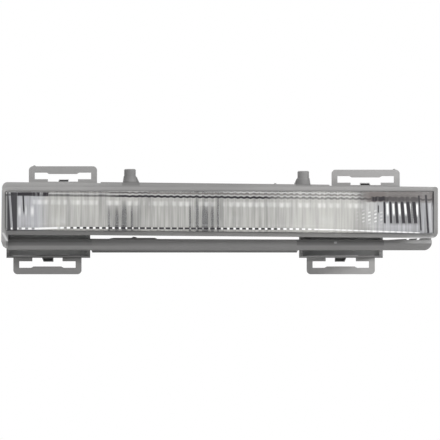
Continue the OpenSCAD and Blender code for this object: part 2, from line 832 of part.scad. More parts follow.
module lens_bead() {
    color([0.25, 0.25, 0.26]) difference() {
        in_band(lens_skirt, channel_depth) rim_outline(lens_inset);
        in_band(lens_skirt - cut, channel_depth + cut) rim_outline(skirt_inset);
    }
}

// The bowl of one cell, as a solid of revolution about the axis of its light source
module cell_bowl(i, shift) {
    factor = cell_factor(i);
    r_max = sqrt(factor * (cell_depth(i) + 4));
    translate([cell_u(i), apex_v + shift, led_z]) rotate([90, 0, 0]) rotate_extrude($fn = 96)
        polygon(concat(
            [for (k = [0:cell_steps]) let (r = r_max * k / cell_steps) [r, r * r / factor]],
            [[r_max, cell_depth(i) + 14], [0, cell_depth(i) + 14]]));
}

module reflector() {
    inner_t = 1.6;
    post_r = 3;
    color([0.88, 0.88, 0.9]) difference() {
        union() {
            intersection() {
                in_band(reflector_setback, tall / 2) rim_outline(reflector_inset, first_cell_gap);
                chord_frame() for (i = [0:cell_count - 1]) cell_bowl(i, reflector_t);
                chord_block(0, chord_len, -tall / 2, board_v - fit_gap, -tall / 2, tall / 2);
            }
            in_band(reflector_setback, reflector_setback + reflector_t) rim_outline(reflector_inset, first_cell_gap);
            for (i = [0:seam_count - 1])
                chord_rod(seam_u(i), led_z, chord_front(seam_u(i), reflector_setback) + 1, board_v,
                    post_r);
        }
        intersection() {
            front_prism(y_left - tall, y_right + tall) rim_outline(reflector_inset + inner_t, first_cell_gap);
            chord_frame() for (i = [0:cell_count - 1]) cell_bowl(i, 0);
        }
        for (i = [0:cell_count - 1])
            chord_rod(cell_u(i), led_z, apex_v - cut, board_v + cut, cell_hole_r);
        for (i = [0:seam_count - 1])
            chord_rod(seam_u(i), led_z, board_v - 9, board_v + cut, screw_r);
    }
}

module screw_holes(v0, v1, r) {
    for (i = [0:seam_count - 1]) chord_rod(seam_u(i), led_z, v0, v1, r);
}

function board_screw_u(i) = seam_u(i) + 10;
function board_screw_z(i) = led_z + (i % 2 == 0 ? 1 : -1) * (board_h / 2 - 3);

module board_screw_holes(v0, v1, r) {
    for (i = [0:seam_count - 1]) chord_rod(board_screw_u(i), board_screw_z(i), v0, v1, r);
}

module link_holes(v0, v1) {
    for (i = [-1, 1]) chord_rod(link_u, led_z + i * link_pitch, v0, v1, 1.4);
}

module led_board() {
    color([0.93, 0.94, 0.92]) difference() {
        chord_block(bar_left, board_right, board_v, pad_v, led_z - board_h / 2, led_z + board_h / 2);
        screw_holes(board_v - cut, pad_v + cut, screw_r + 0.3);
        board_screw_holes(board_v - cut, pad_v + cut, board_screw_r + 0.1);
    }
}

module led(i) {
    base_t = 0.8;
    dome_r = led_w * 0.42;
    half = led_w / 2;
    color([0.95, 0.9, 0.55]) {
        chord_block(cell_u(i) - half, cell_u(i) + half, board_v - base_t, board_v,
            led_z - half, led_z + half);
        chord_frame() translate([cell_u(i), board_v - base_t + 0.1, led_z]) rotate([90, 0, 0])
            rotate_extrude() intersection() {
                circle(r = dome_r);
                square(dome_r + cut);
            }
    }
}

module thermal_pad() {
    color([0.55, 0.6, 0.68]) difference() {
        chord_block(bar_left, board_right, pad_v, bar_v, led_z - board_h / 2, led_z + board_h / 2);
        screw_holes(pad_v - cut, bar_v + cut, screw_r + 0.3);
        board_screw_holes(pad_v - cut, bar_v + cut, board_screw_r + 0.1);
        link_holes(pad_v - cut, bar_v + cut);
    }
}

// Fins of one window, evenly spaced about its middle
module fin_group(i) {
    count = floor((2 * window_half(i) - fin_t - 2) / fin_pitch) + 1;
    for (k = [0:count - 1]) {
        u = cell_u(i) + (k - (count - 1) / 2) * fin_pitch;
        chord_frame() translate([u, gasket_v, led_z - fin_h / 2]) linear_extrude(fin_h) polygon([
            [-fin_t / 2, -cut / 2], [fin_t / 2, -cut / 2],
            [fin_t / 3, body_depth - gasket_v + fin_reach],
            [-fin_t / 3, body_depth - gasket_v + fin_reach]
        ]);
    }
}

module heat_sink() {
    color([0.7, 0.71, 0.73]) difference() {
        union() {
            chord_block(bar_left, bar_right, bar_v, gasket_v, led_z - bar_h / 2, led_z + bar_h / 2);
            for (i = [1:cell_count - 1]) fin_group(i);
        }
        screw_holes(bar_v - cut, gasket_v + cut, screw_r + 0.2);
        board_screw_holes(bar_v - cut, bar_v + bar_t - 0.5, board_screw_r);
        link_holes(bar_v - cut, gasket_v + cut);
    }
}

module heat_sink_gasket() {
    half = bar_h / 2;
    window_h = fin_h / 2 + fit_gap;
    color([0.15, 0.15, 0.16]) difference() {
        chord_block(seam_u(0) - 8, bar_right, gasket_v, gasket_v + gasket_t, led_z - half, led_z + half);
        for (i = [1:cell_count - 1])
            chord_block(cell_u(i) - window_half(i), cell_u(i) + window_half(i),
                gasket_v - cut, gasket_v + gasket_t + cut, led_z - window_h, led_z + window_h);
        screw_holes(gasket_v - cut, gasket_v + gasket_t + cut, screw_r + 0.2);
    }
}

// Pan head screw along the chord depth: the head sits on v and the shank points to the lens
module chord_screw(u, z, v, length, r) {
    head_r = 2 * r;
    head_t = 1.4 * r;
    chord_frame() translate([u, v, z]) rotate([90, 0, 0]) {
        cylinder(r = r, h = length);
        difference() {
            translate([0, 0, -head_t]) cylinder(r1 = head_r * 0.8, r2 = head_r, h = head_t);
            translate([0, 0, -head_t - cut]) cylinder(r = r * 0.7, h = cut + head_t * 0.6, $fn = 6);
        }
    }
}

module optics_screws() {
    length = body_depth - board_v + 8;
    color([0.75, 0.76, 0.78]) for (i = [0:seam_count - 1])
        chord_screw(seam_u(i), led_z, body_depth, length, screw_r);
}

module board_screws() {
    color([0.75, 0.76, 0.78]) for (i = [0:seam_count - 1])
        chord_frame() translate([board_screw_u(i), board_v, board_screw_z(i)]) rotate([-90, 0, 0]) {
            cylinder(r = board_screw_r, h = board_t + pad_t + bar_t - 0.8);
            translate([0, 0, -1.2]) cylinder(r1 = 1.5, r2 = 1.9, h = 1.2);
        }
}

module driver_board() {
    x0 = box_left_x + wall + driver_play;
    color([0.1, 0.35, 0.2]) difference() {
        block(x0, x0 + driver_w, driver_y - board_t, driver_y, led_z - driver_h / 2,
            led_z + driver_h / 2);
        for (i = [-1, 1])
            y_rod(link_x, led_z + i * link_pitch, driver_y - board_t - cut, driver_y + cut, link_r);
        for (k = [0:terminal_count - 1])
            terminal_slot(k, driver_y - board_t - cut, driver_y + cut, 0.1);
    }
}

module driver_chip() {
    size = 7;
    t = 1.4;
    x = box_left_x + box_w * 0.42;
    color([0.12, 0.12, 0.13]) {
        block(x - size / 2, x + size / 2, driver_y - board_t - t, driver_y - board_t - 0.2,
            led_z - size / 2, led_z + size / 2);
        for (k = [-2:2])
            for (s = [-1, 1])
                block(x - size / 2 - 1, x + size / 2 + 1, driver_y - board_t - 0.4,
                    driver_y - board_t, led_z + k * 1.27 - 0.2, led_z + k * 1.27 + 0.2);
    }
}

module choke() {
    x = box_left_x + box_w * 0.84;
    color([0.2, 0.2, 0.21]) y_rod(x, led_z + 4.5, driver_y - board_t - 5, driver_y - board_t, 3.8);
}

module capacitor() {
    x = box_left_x + box_w * 0.2;
    color([0.7, 0.71, 0.72]) y_rod(x, led_z + 5.4, driver_y - board_t - 6.5, driver_y - board_t, 3.15);
}

module diode() {
    x = box_left_x + box_w * 0.84;
    color([0.13, 0.13, 0.14])
        block(x - 2.3, x + 2.3, driver_y - board_t - 2.2, driver_y - board_t, led_z - 7.2, led_z - 3.4);
}

module link_wires() {
    color([0.8, 0.78, 0.7]) for (i = [-1, 1])
        y_rod(link_x, led_z + i * link_pitch, chord_y(link_u, pad_v) + 0.15, driver_y + 0.8, link_r);
}

// Cover of the driver box: plate, socket with keys, vent nipple and board posts
module rear_cover() {
    w = socket_w / 2 + socket_wall;
    h = socket_h / 2 + socket_wall;
    post_x = [box_left_x + wall + 4.2, box_right_x - wall - 4.2];
    color([0.2, 0.2, 0.21]) difference() {
        union() {
            front_prism(cover_y, cover_back) flange_outline();
            front_prism(cover_back - 0.5, cover_back + socket_depth) rounded_outline(
                [[socket_x - w, socket_z - h], [socket_x + w, socket_z - h],
                 [socket_x + w, socket_z + h], [socket_x - w, socket_z + h]], [2, 2, 2, 2]);
            block(socket_x - 2.5, socket_x + 2.5, cover_back - 0.5, cover_back + socket_depth - 3,
                socket_z + h - 0.5, socket_z + h + 1.2);
            y_rod(vent_x, led_z, cover_back - 0.5, cover_back + vent_h - 2, vent_r - 2.2);
            for (x = post_x)
                for (s = [-1, 1])
                    y_rod(x, led_z + s * (driver_h / 2 - 2.6), driver_y, cover_y + 0.5, 2);
        }
        front_prism(cover_back, cover_back + socket_depth + cut) rounded_outline(
            [[socket_x - socket_w / 2, socket_z - socket_h / 2],
             [socket_x + socket_w / 2, socket_z - socket_h / 2],
             [socket_x + socket_w / 2, socket_z + socket_h / 2],
             [socket_x - socket_w / 2, socket_z + socket_h / 2]], [1, 1, 1, 1]);
        for (k = [0:terminal_count - 1]) terminal_slot(k, cover_y - cut, cover_back + cut, 0);
        y_rod(vent_x, led_z, cover_y - cut, cover_back + vent_h, 1.5);
        for (sx = [-1, 1])
            for (sz = [-1, 1])
                y_rod(ear_x(sx), ear_z(sz), cover_y - cut, cover_back + cut, cover_screw_r + 0.2);
    }
}

module terminal_slot(k, y0, y1, gap) {
    x = socket_x + (k - (terminal_count - 1) / 2) * terminal_pitch;
    block(x - terminal_w / 2 - gap, x + terminal_w / 2 + gap, y0, y1,
        socket_z - terminal_t / 2 - gap, socket_z + terminal_t / 2 + gap);
}

module connector_terminals() {
    color([0.8, 0.7, 0.35]) for (k = [0:terminal_count - 1])
        terminal_slot(k, driver_y - board_t - 0.6, cover_back + socket_depth - terminal_short, 0);
}

module rear_cover_seal() {
    color([0.12, 0.12, 0.13]) front_prism(box_y, cover_y) difference() {
        box_outline(0.2);
        box_outline(wall);
    }
}

module rear_cover_screws() {
    color([0.75, 0.76, 0.78]) for (sx = [-1, 1])
        for (sz = [-1, 1]) {
            y_rod(ear_x(sx), ear_z(sz), box_y - cover_screw_grip, cover_back + 0.5,
                cover_screw_r);
            difference() {
                y_rod(ear_x(sx), ear_z(sz), cover_back, cover_back + 1.8, ear_w / 2 - 0.2);
                translate([ear_x(sx), cover_back + 0.9, ear_z(sz)]) rotate([-90, 0, 0])
                    cylinder(r = 1, h = 2, $fn = 6);
            }
        }
}

// Push-on cap over the nipple, with vent slots round its skirt
module vent_cap() {
    lid = 1.5;
    color([0.1, 0.1, 0.11]) difference() {
        y_rod(vent_x, led_z, cover_back + 0.2, cover_back + vent_h, vent_r);
        y_rod(vent_x, led_z, cover_back - cut, cover_back + vent_h - lid, vent_r - 2.2);
        for (k = [0:5])
            translate([vent_x, cover_back, led_z]) rotate([0, k * 60, 0])
                translate([vent_r - 1.2, -cut, -0.6]) cube([3, 3.5, 1.2]);
    }
}

module vent_membrane() {
    color([0.95, 0.95, 0.95])
        y_rod(vent_x, led_z, cover_y - 0.3, cover_y, 3);
}

housing();
outer_lens();
lens_bead();
reflector();
led_board();
led(0);  // led_1
led(1);  // led_2
led(2);  // led_3
led(3);  // led_4
led(4);  // led_5
thermal_pad();
heat_sink();
heat_sink_gasket();
optics_screws();
board_screws();
driver_board();
driver_chip();
choke();
capacitor();
diode();
link_wires();
rear_cover();
rear_cover_seal();
rear_cover_screws();
connector_terminals();
vent_cap();
vent_membrane();
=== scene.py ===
import math

import bmesh
import bpy
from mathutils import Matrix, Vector


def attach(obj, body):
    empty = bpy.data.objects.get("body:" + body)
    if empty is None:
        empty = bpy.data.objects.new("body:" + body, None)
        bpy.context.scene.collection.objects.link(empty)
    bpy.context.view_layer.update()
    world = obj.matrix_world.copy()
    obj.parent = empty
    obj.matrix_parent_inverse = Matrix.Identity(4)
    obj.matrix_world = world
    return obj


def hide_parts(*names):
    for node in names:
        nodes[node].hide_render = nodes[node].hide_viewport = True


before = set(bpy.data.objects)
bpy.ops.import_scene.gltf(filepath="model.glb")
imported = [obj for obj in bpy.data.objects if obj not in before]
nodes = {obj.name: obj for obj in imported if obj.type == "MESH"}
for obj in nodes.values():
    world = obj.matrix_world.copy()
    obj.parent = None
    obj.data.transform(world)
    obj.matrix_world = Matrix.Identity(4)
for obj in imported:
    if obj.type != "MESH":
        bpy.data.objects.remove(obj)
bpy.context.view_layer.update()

# Housing: one long injection moulding in light grey plastic that carries every other piece.
# It has the rim round the lens, the rail along the lower edge, two bracket pockets, four snap
# loops and two locating pegs. Its skin has the fine grain of a spark-eroded mould.
MM = 0.001


class Wire:
    """A socket in a material. Sums and products of wires add Math nodes."""

    def __init__(self, tree, socket):
        self.tree = tree
        self.socket = socket

    def node(self, kind, settings=None, inputs=None, output=0):
        """Adds one node, with its settings set before the values and wires of its inputs."""
        made = self.tree.nodes.new(kind)
        for key, value in (settings or {}).items():
            setattr(made, key, value)
        for key, value in (inputs or {}).items():
            if isinstance(value, Wire):
                self.tree.links.new(value.socket, made.inputs[key])
            else:
                made.inputs[key].default_value = value
        return Wire(self.tree, made.outputs[output])

    def math(self, operation, *values):
        return self.node("ShaderNodeMath", {"operation": operation}, dict(enumerate(values)))

    def __add__(self, other):
        return self.math("ADD", self, other)

    def __sub__(self, other):
        return self.math("SUBTRACT", self, other)

    def __rsub__(self, other):
        return self.math("SUBTRACT", other, self)

    def __mul__(self, other):
        return self.math("MULTIPLY", self, other)

    def __truediv__(self, other):
        return self.math("DIVIDE", self, other)

    def __or__(self, other):
        """The larger of two wires, for marks that overlap."""
        return self.math("MAXIMUM", self, other)

    __radd__ = __add__
    __rmul__ = __mul__

    def tint(self, low, high):
        """The colour between low and high that this wire picks."""
        return self.node("ShaderNodeMix", {"data_type": "RGBA"}, {0: self, 6: low, 7: high}, 2)

    def rise(self, low, high):
        """0 where this wire is at low, 1 where it is at high, and smooth between."""
        return self.node("ShaderNodeMapRange", {"interpolation_type": "SMOOTHSTEP"},
                         {"Value": self, "From Min": low, "From Max": high})

    def fade(self, start, end):
        """A level that goes smoothly from one to another, each given after its place."""
        return self.node("ShaderNodeMapRange", {"interpolation_type": "SMOOTHSTEP"},
                         {"Value": self, "From Min": start[0], "From Max": end[0],
                          "To Min": start[1], "To Max": end[1]})

    def band(self, low, high, soft):
        """1 between low and high, 0 outside, with soft edges."""
        return self.rise(low - soft, low + soft) * self.rise(high + soft, high - soft)

    def noise(self, size, detail=2.0, stretch=(1.0, 1.0, 1.0)):
        """Noise from 0 to 1 with patches of a size in metres, stretched along the axes."""
        vector = self.node("ShaderNodeVectorMath", {"operation": "DIVIDE"},
                           {0: self, 1: [size * s for s in stretch]})
        return self.node("ShaderNodeTexNoise", None,
                         {"Vector": vector, "Scale": 1.0, "Detail": detail})

    def relief(self, height):
        """A normal that follows this wire as a height map of that many metres."""
        return self.node("ShaderNodeBump", None, {"Height": self, "Distance": height})

    def part(self, axis):
        """One coordinate of this wire in millimetres."""
        return self.node("ShaderNodeSeparateXYZ", None, {0: self}, axis) / MM


def any_band(wire, places):
    """The strongest of several bands, each with its low, high, softness and strength."""
    joined = 0.0
    for low, high, soft, strength in places:
        joined = wire.band(low, high, soft) * strength | joined
    return joined


def any_patch(x, z, places):
    """The strongest of several patches, each with a band in x, one in z, and a strength."""
    joined = 0.0
    for across, up, strength in places:
        joined = x.band(*across) * z.band(*up) * strength | joined
    return joined


def new_finish(name):
    """A new material and the wire of the piece's own coordinates."""
    material = bpy.data.materials.new(name)
    material.use_nodes = True
    coords = material.node_tree.nodes.new("ShaderNodeTexCoord")
    return material, Wire(material.node_tree, coords.outputs["Object"])


def surface(material, shader=None, **values):
    """Sets or links the sockets of the surface shader. An underscore stands for a space."""
    shader = shader or material.node_tree.nodes["Principled BSDF"]
    for key, value in values.items():
        socket = shader.inputs[key.replace("_", " ")]
        if isinstance(value, Wire):
            material.node_tree.links.new(value.socket, socket)
        else:
            socket.default_value = value


def film(material, share, **values):
    """Lays a second surface over the first, with a share from 0 to 1."""
    tree = material.node_tree
    over = tree.nodes.new("ShaderNodeBsdfPrincipled")
    surface(material, over, **values)
    mix = tree.nodes.new("ShaderNodeMixShader")
    tree.links.new(share.socket, mix.inputs[0])
    tree.links.new(tree.nodes["Principled BSDF"].outputs[0], mix.inputs[1])
    tree.links.new(over.outputs[0], mix.inputs[2])
    tree.links.new(mix.outputs[0], tree.nodes["Material Output"].inputs["Surface"])


def paint(material, *names):
    """Gives CAD nodes a finish."""
    for name in names:
        nodes[name].data.materials.clear()
        nodes[name].data.materials.append(material)


def grey(level, warmth=0.0):
    """A grey that leans to a warm or a cool side, with its alpha."""
    return (level * (1 + warmth), level, level * (1 - warmth), 1.0)


# The front of the lamp is an arc: its radius, and the place of its centre. The lamp's left end
# is at the same x as the centre.
ARC_R = 0.760
ARC_X = -0.0855
ARC_Y = 0.735175


def face_y(x, depth):
    """Y at a depth behind the lens face, on the front arc of the lamp."""
    return ARC_Y - math.sqrt((ARC_R - depth) ** 2 - (x - ARC_X) ** 2)


# Places on the housing in millimetres: low end, high end and the softness of both
LEFT_BRACKET = (-82.2, -25.3, 0.2)
RIGHT_BRACKET = (110.8, 168.8, 0.2)
LEFT_PEG = (-5.2, 6.5, 0.5)
RIGHT_PEG = (110.0, 120.5, 0.5)
RIM_FACE = (-11.0, -3.5, 0.5)
RIM_MIDDLE = (-20.0, 80.0, 20.0)
RAIL_FACE = (-50.8, -43.4, 0.8)
RAIL_MIDDLE = (-48.8, -46.2, 0.6)
RAIL_FOOT = (-50.8, -49.2, 0.3)
OVER_RAIL = (-43.6, -41.2, 0.5)
RAIL_TOP = (-46.0, -42.8, 0.6)
UNDER_RAIL = (-51.5, -49.5, 0.4)
UPPER_RECESS = (-42.3, -38.6, 0.3)
LOWER_RECESS = (-54.3, -49.5, 0.2)
WEB_HEIGHT = (-44.6, -40.5, 0.8)
STREAK_WIDTH = (-85.0, -83.5, 0.5)
STREAK_HEIGHT = (-43.2, -37.6, 0.6)

# The same, with a strength
STRIPS_UNDER_RAIL = ((-53.4, -51.0, 0.2, 0.27), (-54.6, -53.4, 0.2, 0.5))
UPPER_CATCHES = (((-48.5, -39.5, 0.2), (-3.9, -1.0, 0.1), 1.0),
                 ((151.5, 160.5, 0.2), (-5.9, -3.4, 0.1), 1.0))
BRACKET_MARKS = (((135.6, 137.4, 0.3), (-44.8, -43.6, 0.3), 0.45),
                 ((136.0, 140.4, 0.4), (-39.5, -37.8, 0.4), 0.12))

# Ranges over which a tone grows from none to full
TO_LEFT = (60.0, -60.0)
LEFT_HALF = (60.0, 0.0)
RIGHT_HALF = (60.0, 120.0)
RIM_LEFT = (0.0, -40.0)
RIGHT_LOOPS = (90.0, 110.0)
LEFT_PLATE = (-82.0, -82.6)
RIGHT_PLATE = (200.0, 202.5)
BELOW_LENS = (-33.0, -39.0)
LOWER_LOOP_TIPS = (-56.0, -57.5)
ABOVE_RIM = (-3.0, -1.0)
BELOW_RAIL = (-55.0, -57.0)
PEG_FOOT = (-7.0, -5.8)
WEB_END = (176.0, 192.0)
BEHIND_BRACKETS = (15.2, 15.8)
LOOKS_BACK = (0.35, 0.05)

# How far painted shade darkens a place, as a share of the way to black. Two of them change along the
# lamp, and are given after the places where they hold.
PLAIN_SHADE = 0.09
LOW_SHADE = 0.13
LOW_LEFT_SHADE = 0.15
RIGHT_PLATE_SHADE = 0.26
LOOP_SHADE = 0.09
RIM_MIDDLE_SHADE = 0.1
RIM_LEFT_SHADE = 0.09
RAIL_SHADE = 0.22
RAIL_FOOT_LIGHT = 0.12
OVER_RAIL_SHADE = 0.14
RAIL_TOP_SHADE = ((60.0, 0.06), (110.0, 0.22))
UNDER_RAIL_SHADE = 0.22
PEG_SHADE = ((20.0, 0.25), (100.0, 0.32))

# Strengths of the other tones, and the lean of the painted highlight streak from its upper end
PLATE_FREE_OF_LOW = 0.65
LOWER_LOOP_SHARE = 0.5
WEB_LIGHT = 0.6
STREAK_LIGHT = 0.7
STREAK_LEAN = 0.55
STREAK_Z = -37.9

grey_plastic, place = new_finish("grey_plastic")
cloud = place.noise(0.030, 3.0)
flow = place.noise(0.004, 3.0, (6.0, 1.0, 1.0))
grain = place.noise(0.0004, 2.0)

# Depth behind the front arc, and a mask that is 0 on the faces that look back
x, y, z = place.part(0), place.part(1), place.part(2)
from_arc = x - ARC_X / MM
sweep = (ARC_R / MM) ** 2 - from_arc * from_arc
depth = y - ARC_Y / MM + sweep.math("SQRT", sweep)
inner = depth.rise(*BEHIND_BRACKETS)
normal = place.node("ShaderNodeTexCoord", None, None, "Normal")
facing = normal.node("ShaderNodeSeparateXYZ", None, {0: normal}, "Y").rise(*LOOKS_BACK)

# Painted shade on the end plates, the part below the lens, the loops, the rim and the pegs
brackets = x.band(*LEFT_BRACKET) | x.band(*RIGHT_BRACKET)
to_left = x.rise(*TO_LEFT)
left_plate = x.rise(*LEFT_PLATE)
below = z.rise(*BELOW_LENS) * (1.0 - z.rise(*LOWER_LOOP_TIPS) * x.rise(*RIGHT_LOOPS))
below = below * (1.0 - PLATE_FREE_OF_LOW * left_plate)
upper_loops = z.rise(*ABOVE_RIM)
lower_loops = z.rise(*BELOW_RAIL)
left_loops = (upper_loops + lower_loops * LOWER_LOOP_SHARE) * x.rise(*LEFT_HALF)
right_loops = (upper_loops | lower_loops) * x.rise(*RIGHT_HALF)
rim_shade = x.band(*RIM_MIDDLE) * RIM_MIDDLE_SHADE - x.rise(*RIM_LEFT) * RIM_LEFT_SHADE
rim_shade = rim_shade * z.band(*RIM_FACE)
pegs = (x.band(*LEFT_PEG) | x.band(*RIGHT_PEG)) * z.rise(*PEG_FOOT)

# Painted shade on the rail and on the strips under it
rail_shade = z.band(*RAIL_FACE) * (1.0 - z.band(*RAIL_MIDDLE) * to_left)
rail_shade = rail_shade * (RAIL_SHADE - RAIL_FOOT_LIGHT * z.band(*RAIL_FOOT) * brackets)
rail_shade = rail_shade + z.band(*OVER_RAIL) * brackets * OVER_RAIL_SHADE
rail_shade = rail_shade + z.band(*RAIL_TOP) * brackets * x.fade(*RAIL_TOP_SHADE)
rail_shade = rail_shade + z.band(*UNDER_RAIL) * (1.0 - brackets) * UNDER_RAIL_SHADE
strip_shade = brackets * any_band(z, STRIPS_UNDER_RAIL) * (1.0 - inner)

# All the painted shade together, left off the faces that look back
shade = below * (LOW_SHADE + LOW_LEFT_SHADE * to_left) + rail_shade + strip_shade + rim_shade
shade = shade + pegs * x.fade(*PEG_SHADE)
shade = shade + x.rise(*RIGHT_PLATE) * RIGHT_PLATE_SHADE
shade = shade + (left_loops - right_loops) * LOOP_SHADE
shade = (shade + PLAIN_SHADE * (1.0 - left_plate)) * facing

# Painted light: the recesses behind the brackets and the catches of the upper loops are painted
# lighter than their shade, and the thin end of the web and a streak at the left end carry painted
# highlights. Two small patches on the right bracket take the same lighter grey.
recess_light = brackets * (z.band(*UPPER_RECESS) | z.band(*LOWER_RECESS)) * inner
web_end_highlight = x.rise(*WEB_END) * z.band(*WEB_HEIGHT) * WEB_LIGHT
lightened_patches = any_patch(x, z, UPPER_CATCHES + BRACKET_MARKS)
streak_highlight = (x + STREAK_LEAN * (z - STREAK_Z)).band(*STREAK_WIDTH)
streak_highlight = streak_highlight * z.band(*STREAK_HEIGHT) * STREAK_LIGHT
painted_light = (streak_highlight | recess_light | lightened_patches | web_end_highlight) * facing

# The plastic's own greys, the lighter grey of the painted light, and black for the painted shade
DARKER_GREY = grey(0.275, 0.01)
LIGHTER_GREY = grey(0.335, 0.012)
PAINTED_LIGHT_GREY = grey(0.62)
BLACK = grey(0.0)
shaded_grey = shade.tint((cloud * 0.5 + flow * 0.5).tint(DARKER_GREY, LIGHTER_GREY), BLACK)
surface(grey_plastic,
        Base_Color=painted_light.tint(shaded_grey, PAINTED_LIGHT_GREY),
        Roughness=0.40 + 0.16 * flow,
        Specular_IOR_Level=0.45,
        Normal=(grain + flow * 0.6).relief(0.00004))
paint(grey_plastic, "housing")

# Reflector: a shallow tray with five cells in a row, moulded in plastic and coated with
# aluminium in a vacuum. Each cell is a bowl round the axis of its light source, cut off by
# its neighbours and by the top and bottom walls of the tray.
LENGTH = 0.290
RISE = ARC_R - math.sqrt(ARC_R ** 2 - LENGTH ** 2)
CHORD_A = math.atan2(RISE, LENGTH)
CHORD_LEN = math.hypot(RISE, LENGTH)
CHORD_Y = face_y(ARC_X, 0.0)


def from_chord(u, v, z):
    """A point given along the chord of the front arc, behind the chord and up."""
    return Vector((ARC_X + u * math.cos(CHORD_A) - v * math.sin(CHORD_A),
                   CHORD_Y + u * math.sin(CHORD_A) + v * math.cos(CHORD_A), z))


def chord_front(u, depth):
    """Distance behind the chord of a point at a depth behind the lens face."""
    return (math.sqrt(ARC_R ** 2 - CHORD_LEN ** 2 / 4)
            - math.sqrt((ARC_R - depth) ** 2 - (u - CHORD_LEN / 2) ** 2))


CREASE = math.radians(35)


def new_piece(name, mesh_data, material):
    """A piece from bmesh data, with smooth faces and creases where its faces meet sharply."""
    for face in mesh_data.faces:
        face.smooth = True
    for edge in mesh_data.edges:
        edge.smooth = len(edge.link_faces) == 2 and edge.calc_face_angle(0.0) < CREASE
    mesh = bpy.data.meshes.new(name)
    mesh_data.to_mesh(mesh)
    mesh_data.free()
    mesh.materials.append(material)
    piece = bpy.data.objects.new(name, mesh)
    bpy.context.scene.collection.objects.link(piece)
    return piece


def skin(mesh_data, rows, closed=False):
    """Faces between rows of points, each row as long as the others."""
    rows = [[mesh_data.verts.new(point) for point in row] for row in rows]
    for row, after in zip(rows, rows[1:]):
        count = len(row)
        for i in range(count if closed else count - 1):
            corners = [row[i], row[(i + 1) % count], after[(i + 1) % count], after[i]]
            mesh_data.faces.new(corners)


RIM_TOP = -0.00722707
LENS_INSET = 0.00295
LENS_HEIGHT_LEFT = 0.0257
LENS_HEIGHT_RIGHT = 0.0281
MOUTH_INSET = 0.00615
FIT_GAP = 0.0003
REFLECTOR_INSET = MOUTH_INSET + FIT_GAP
REFLECTOR_DEPTH = 0.0072
TRAY_WALL = 0.0016


def rim_bottom(x):
    """Height of the lower edge of the rim, which drops towards the right."""
    drop = (LENS_HEIGHT_RIGHT - LENS_HEIGHT_LEFT) * (x - ARC_X) / LENGTH
    return RIM_TOP - 2 * LENS_INSET - LENS_HEIGHT_LEFT - drop


# Cells along the chord: the axes of the first and the last, the ends of the tray, how far
# behind the chord the rims and the bottoms of the bowls lie, and the holes of the light sources
CELLS = 5
CELL_FIRST = 0.041
CELL_LAST = CHORD_LEN - 0.0174
CELL_PITCH = (CELL_LAST - CELL_FIRST) / (CELLS - 1)
TRAY_LEFT = 0.0110
TRAY_RIGHT = 0.2868
APEX_V = 0.016
HOLE_R = 0.0045
LED_Z = (RIM_TOP + rim_bottom(ARC_X + LENGTH / 2)) / 2
CELL_RIM_V = 0.008
CELL_RINGS = 22
MOUTH_STEPS = 120
MOUTH_LEFT_STEP = 0.003
TRAY_WELD = 0.00001

# Rows round the mouth of the tray, from inside to outside, by inset and depth
MOUTH_ROWS = ((TRAY_WALL, 0.0145), (TRAY_WALL, 0.0075), (TRAY_WALL * 0.8, REFLECTOR_DEPTH),
              (0.0002, REFLECTOR_DEPTH), (0.0, 0.0075), (0.0, 0.0125))


def cell_rim(left, right):
    """Points round the edge of a cell, anticlockwise, seen from the front, as (u, z)."""
    top = RIM_TOP - REFLECTOR_INSET - TRAY_WALL
    across, up = 40, 16

    def low(u):
        x = from_chord(u, CELL_RIM_V, 0).x
        return rim_bottom(x) + REFLECTOR_INSET + TRAY_WALL

    points = [(left + (right - left) * i / across, None) for i in range(across)]
    points = [(u, low(u)) for u, _ in points]
    points += [(right, low(right) + (top - low(right)) * i / up) for i in range(up)]
    points += [(right + (left - right) * i / across, top) for i in range(across)]
    points += [(left, top + (low(left) - top) * i / up) for i in range(up)]
    return points


tray = bmesh.new()
half = CELL_PITCH / 2
for cell in range(CELLS):
    middle = CELL_FIRST + cell * CELL_PITCH
    ends = [chord_front(middle - half, REFLECTOR_DEPTH), chord_front(middle + half, REFLECTOR_DEPTH)]
    factor = half ** 2 / (APEX_V - min(ends))
    edge = cell_rim(max(middle - half, TRAY_LEFT), min(middle + half, TRAY_RIGHT))
    rows = []
    for ring in range(CELL_RINGS + 1):
        row = []
        for u, z in edge:
            way = Vector((u - middle, z - LED_Z))
            radius = HOLE_R + (way.length - HOLE_R) * ring / CELL_RINGS
            at = way.normalized() * radius
            v = max(APEX_V - radius ** 2 / factor, chord_front(middle + at.x, REFLECTOR_DEPTH))
            row.append(from_chord(middle + at.x, v, LED_Z + at.y))
        rows.append(row)
    skin(tray, rows, closed=True)
front_rows = []
for inset, depth in MOUTH_ROWS:
    left = ARC_X + REFLECTOR_INSET + MOUTH_LEFT_STEP + inset
    right = ARC_X + LENGTH - REFLECTOR_INSET - inset
    top = RIM_TOP - REFLECTOR_INSET - inset
    xs = [left + (right - left) * i / MOUTH_STEPS for i in range(MOUTH_STEPS + 1)]
    outline = [(x, rim_bottom(x) + REFLECTOR_INSET + inset) for x in xs]
    outline += [(x, top) for x in reversed(xs)]
    front_rows.append([Vector((x, face_y(x, depth), z)) for x, z in outline])
skin(tray, front_rows, closed=True)
bmesh.ops.remove_doubles(tray, verts=tray.verts, dist=TRAY_WELD)
bmesh.ops.recalc_face_normals(tray, faces=tray.faces)

metallised, place = new_finish("metallised_plastic")
streaks = place.noise(0.0012, 2.0, (1.0, 1.0, 14.0))
broad = place.noise(0.006, 2.0, (1.0, 1.0, 6.0))
surface(metallised,
        Base_Color=(streaks * 0.6 + broad * 0.4).rise(0.35, 0.65).tint(grey(0.72), grey(0.94)),
        Metallic=0.55,
        Roughness=0.34 + 0.12 * broad,
        Normal=(streaks * 0.5 + broad).relief(0.0003))
reflector = new_piece("reflector_tray", tray, metallised)
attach(reflector, "root")
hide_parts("reflector")

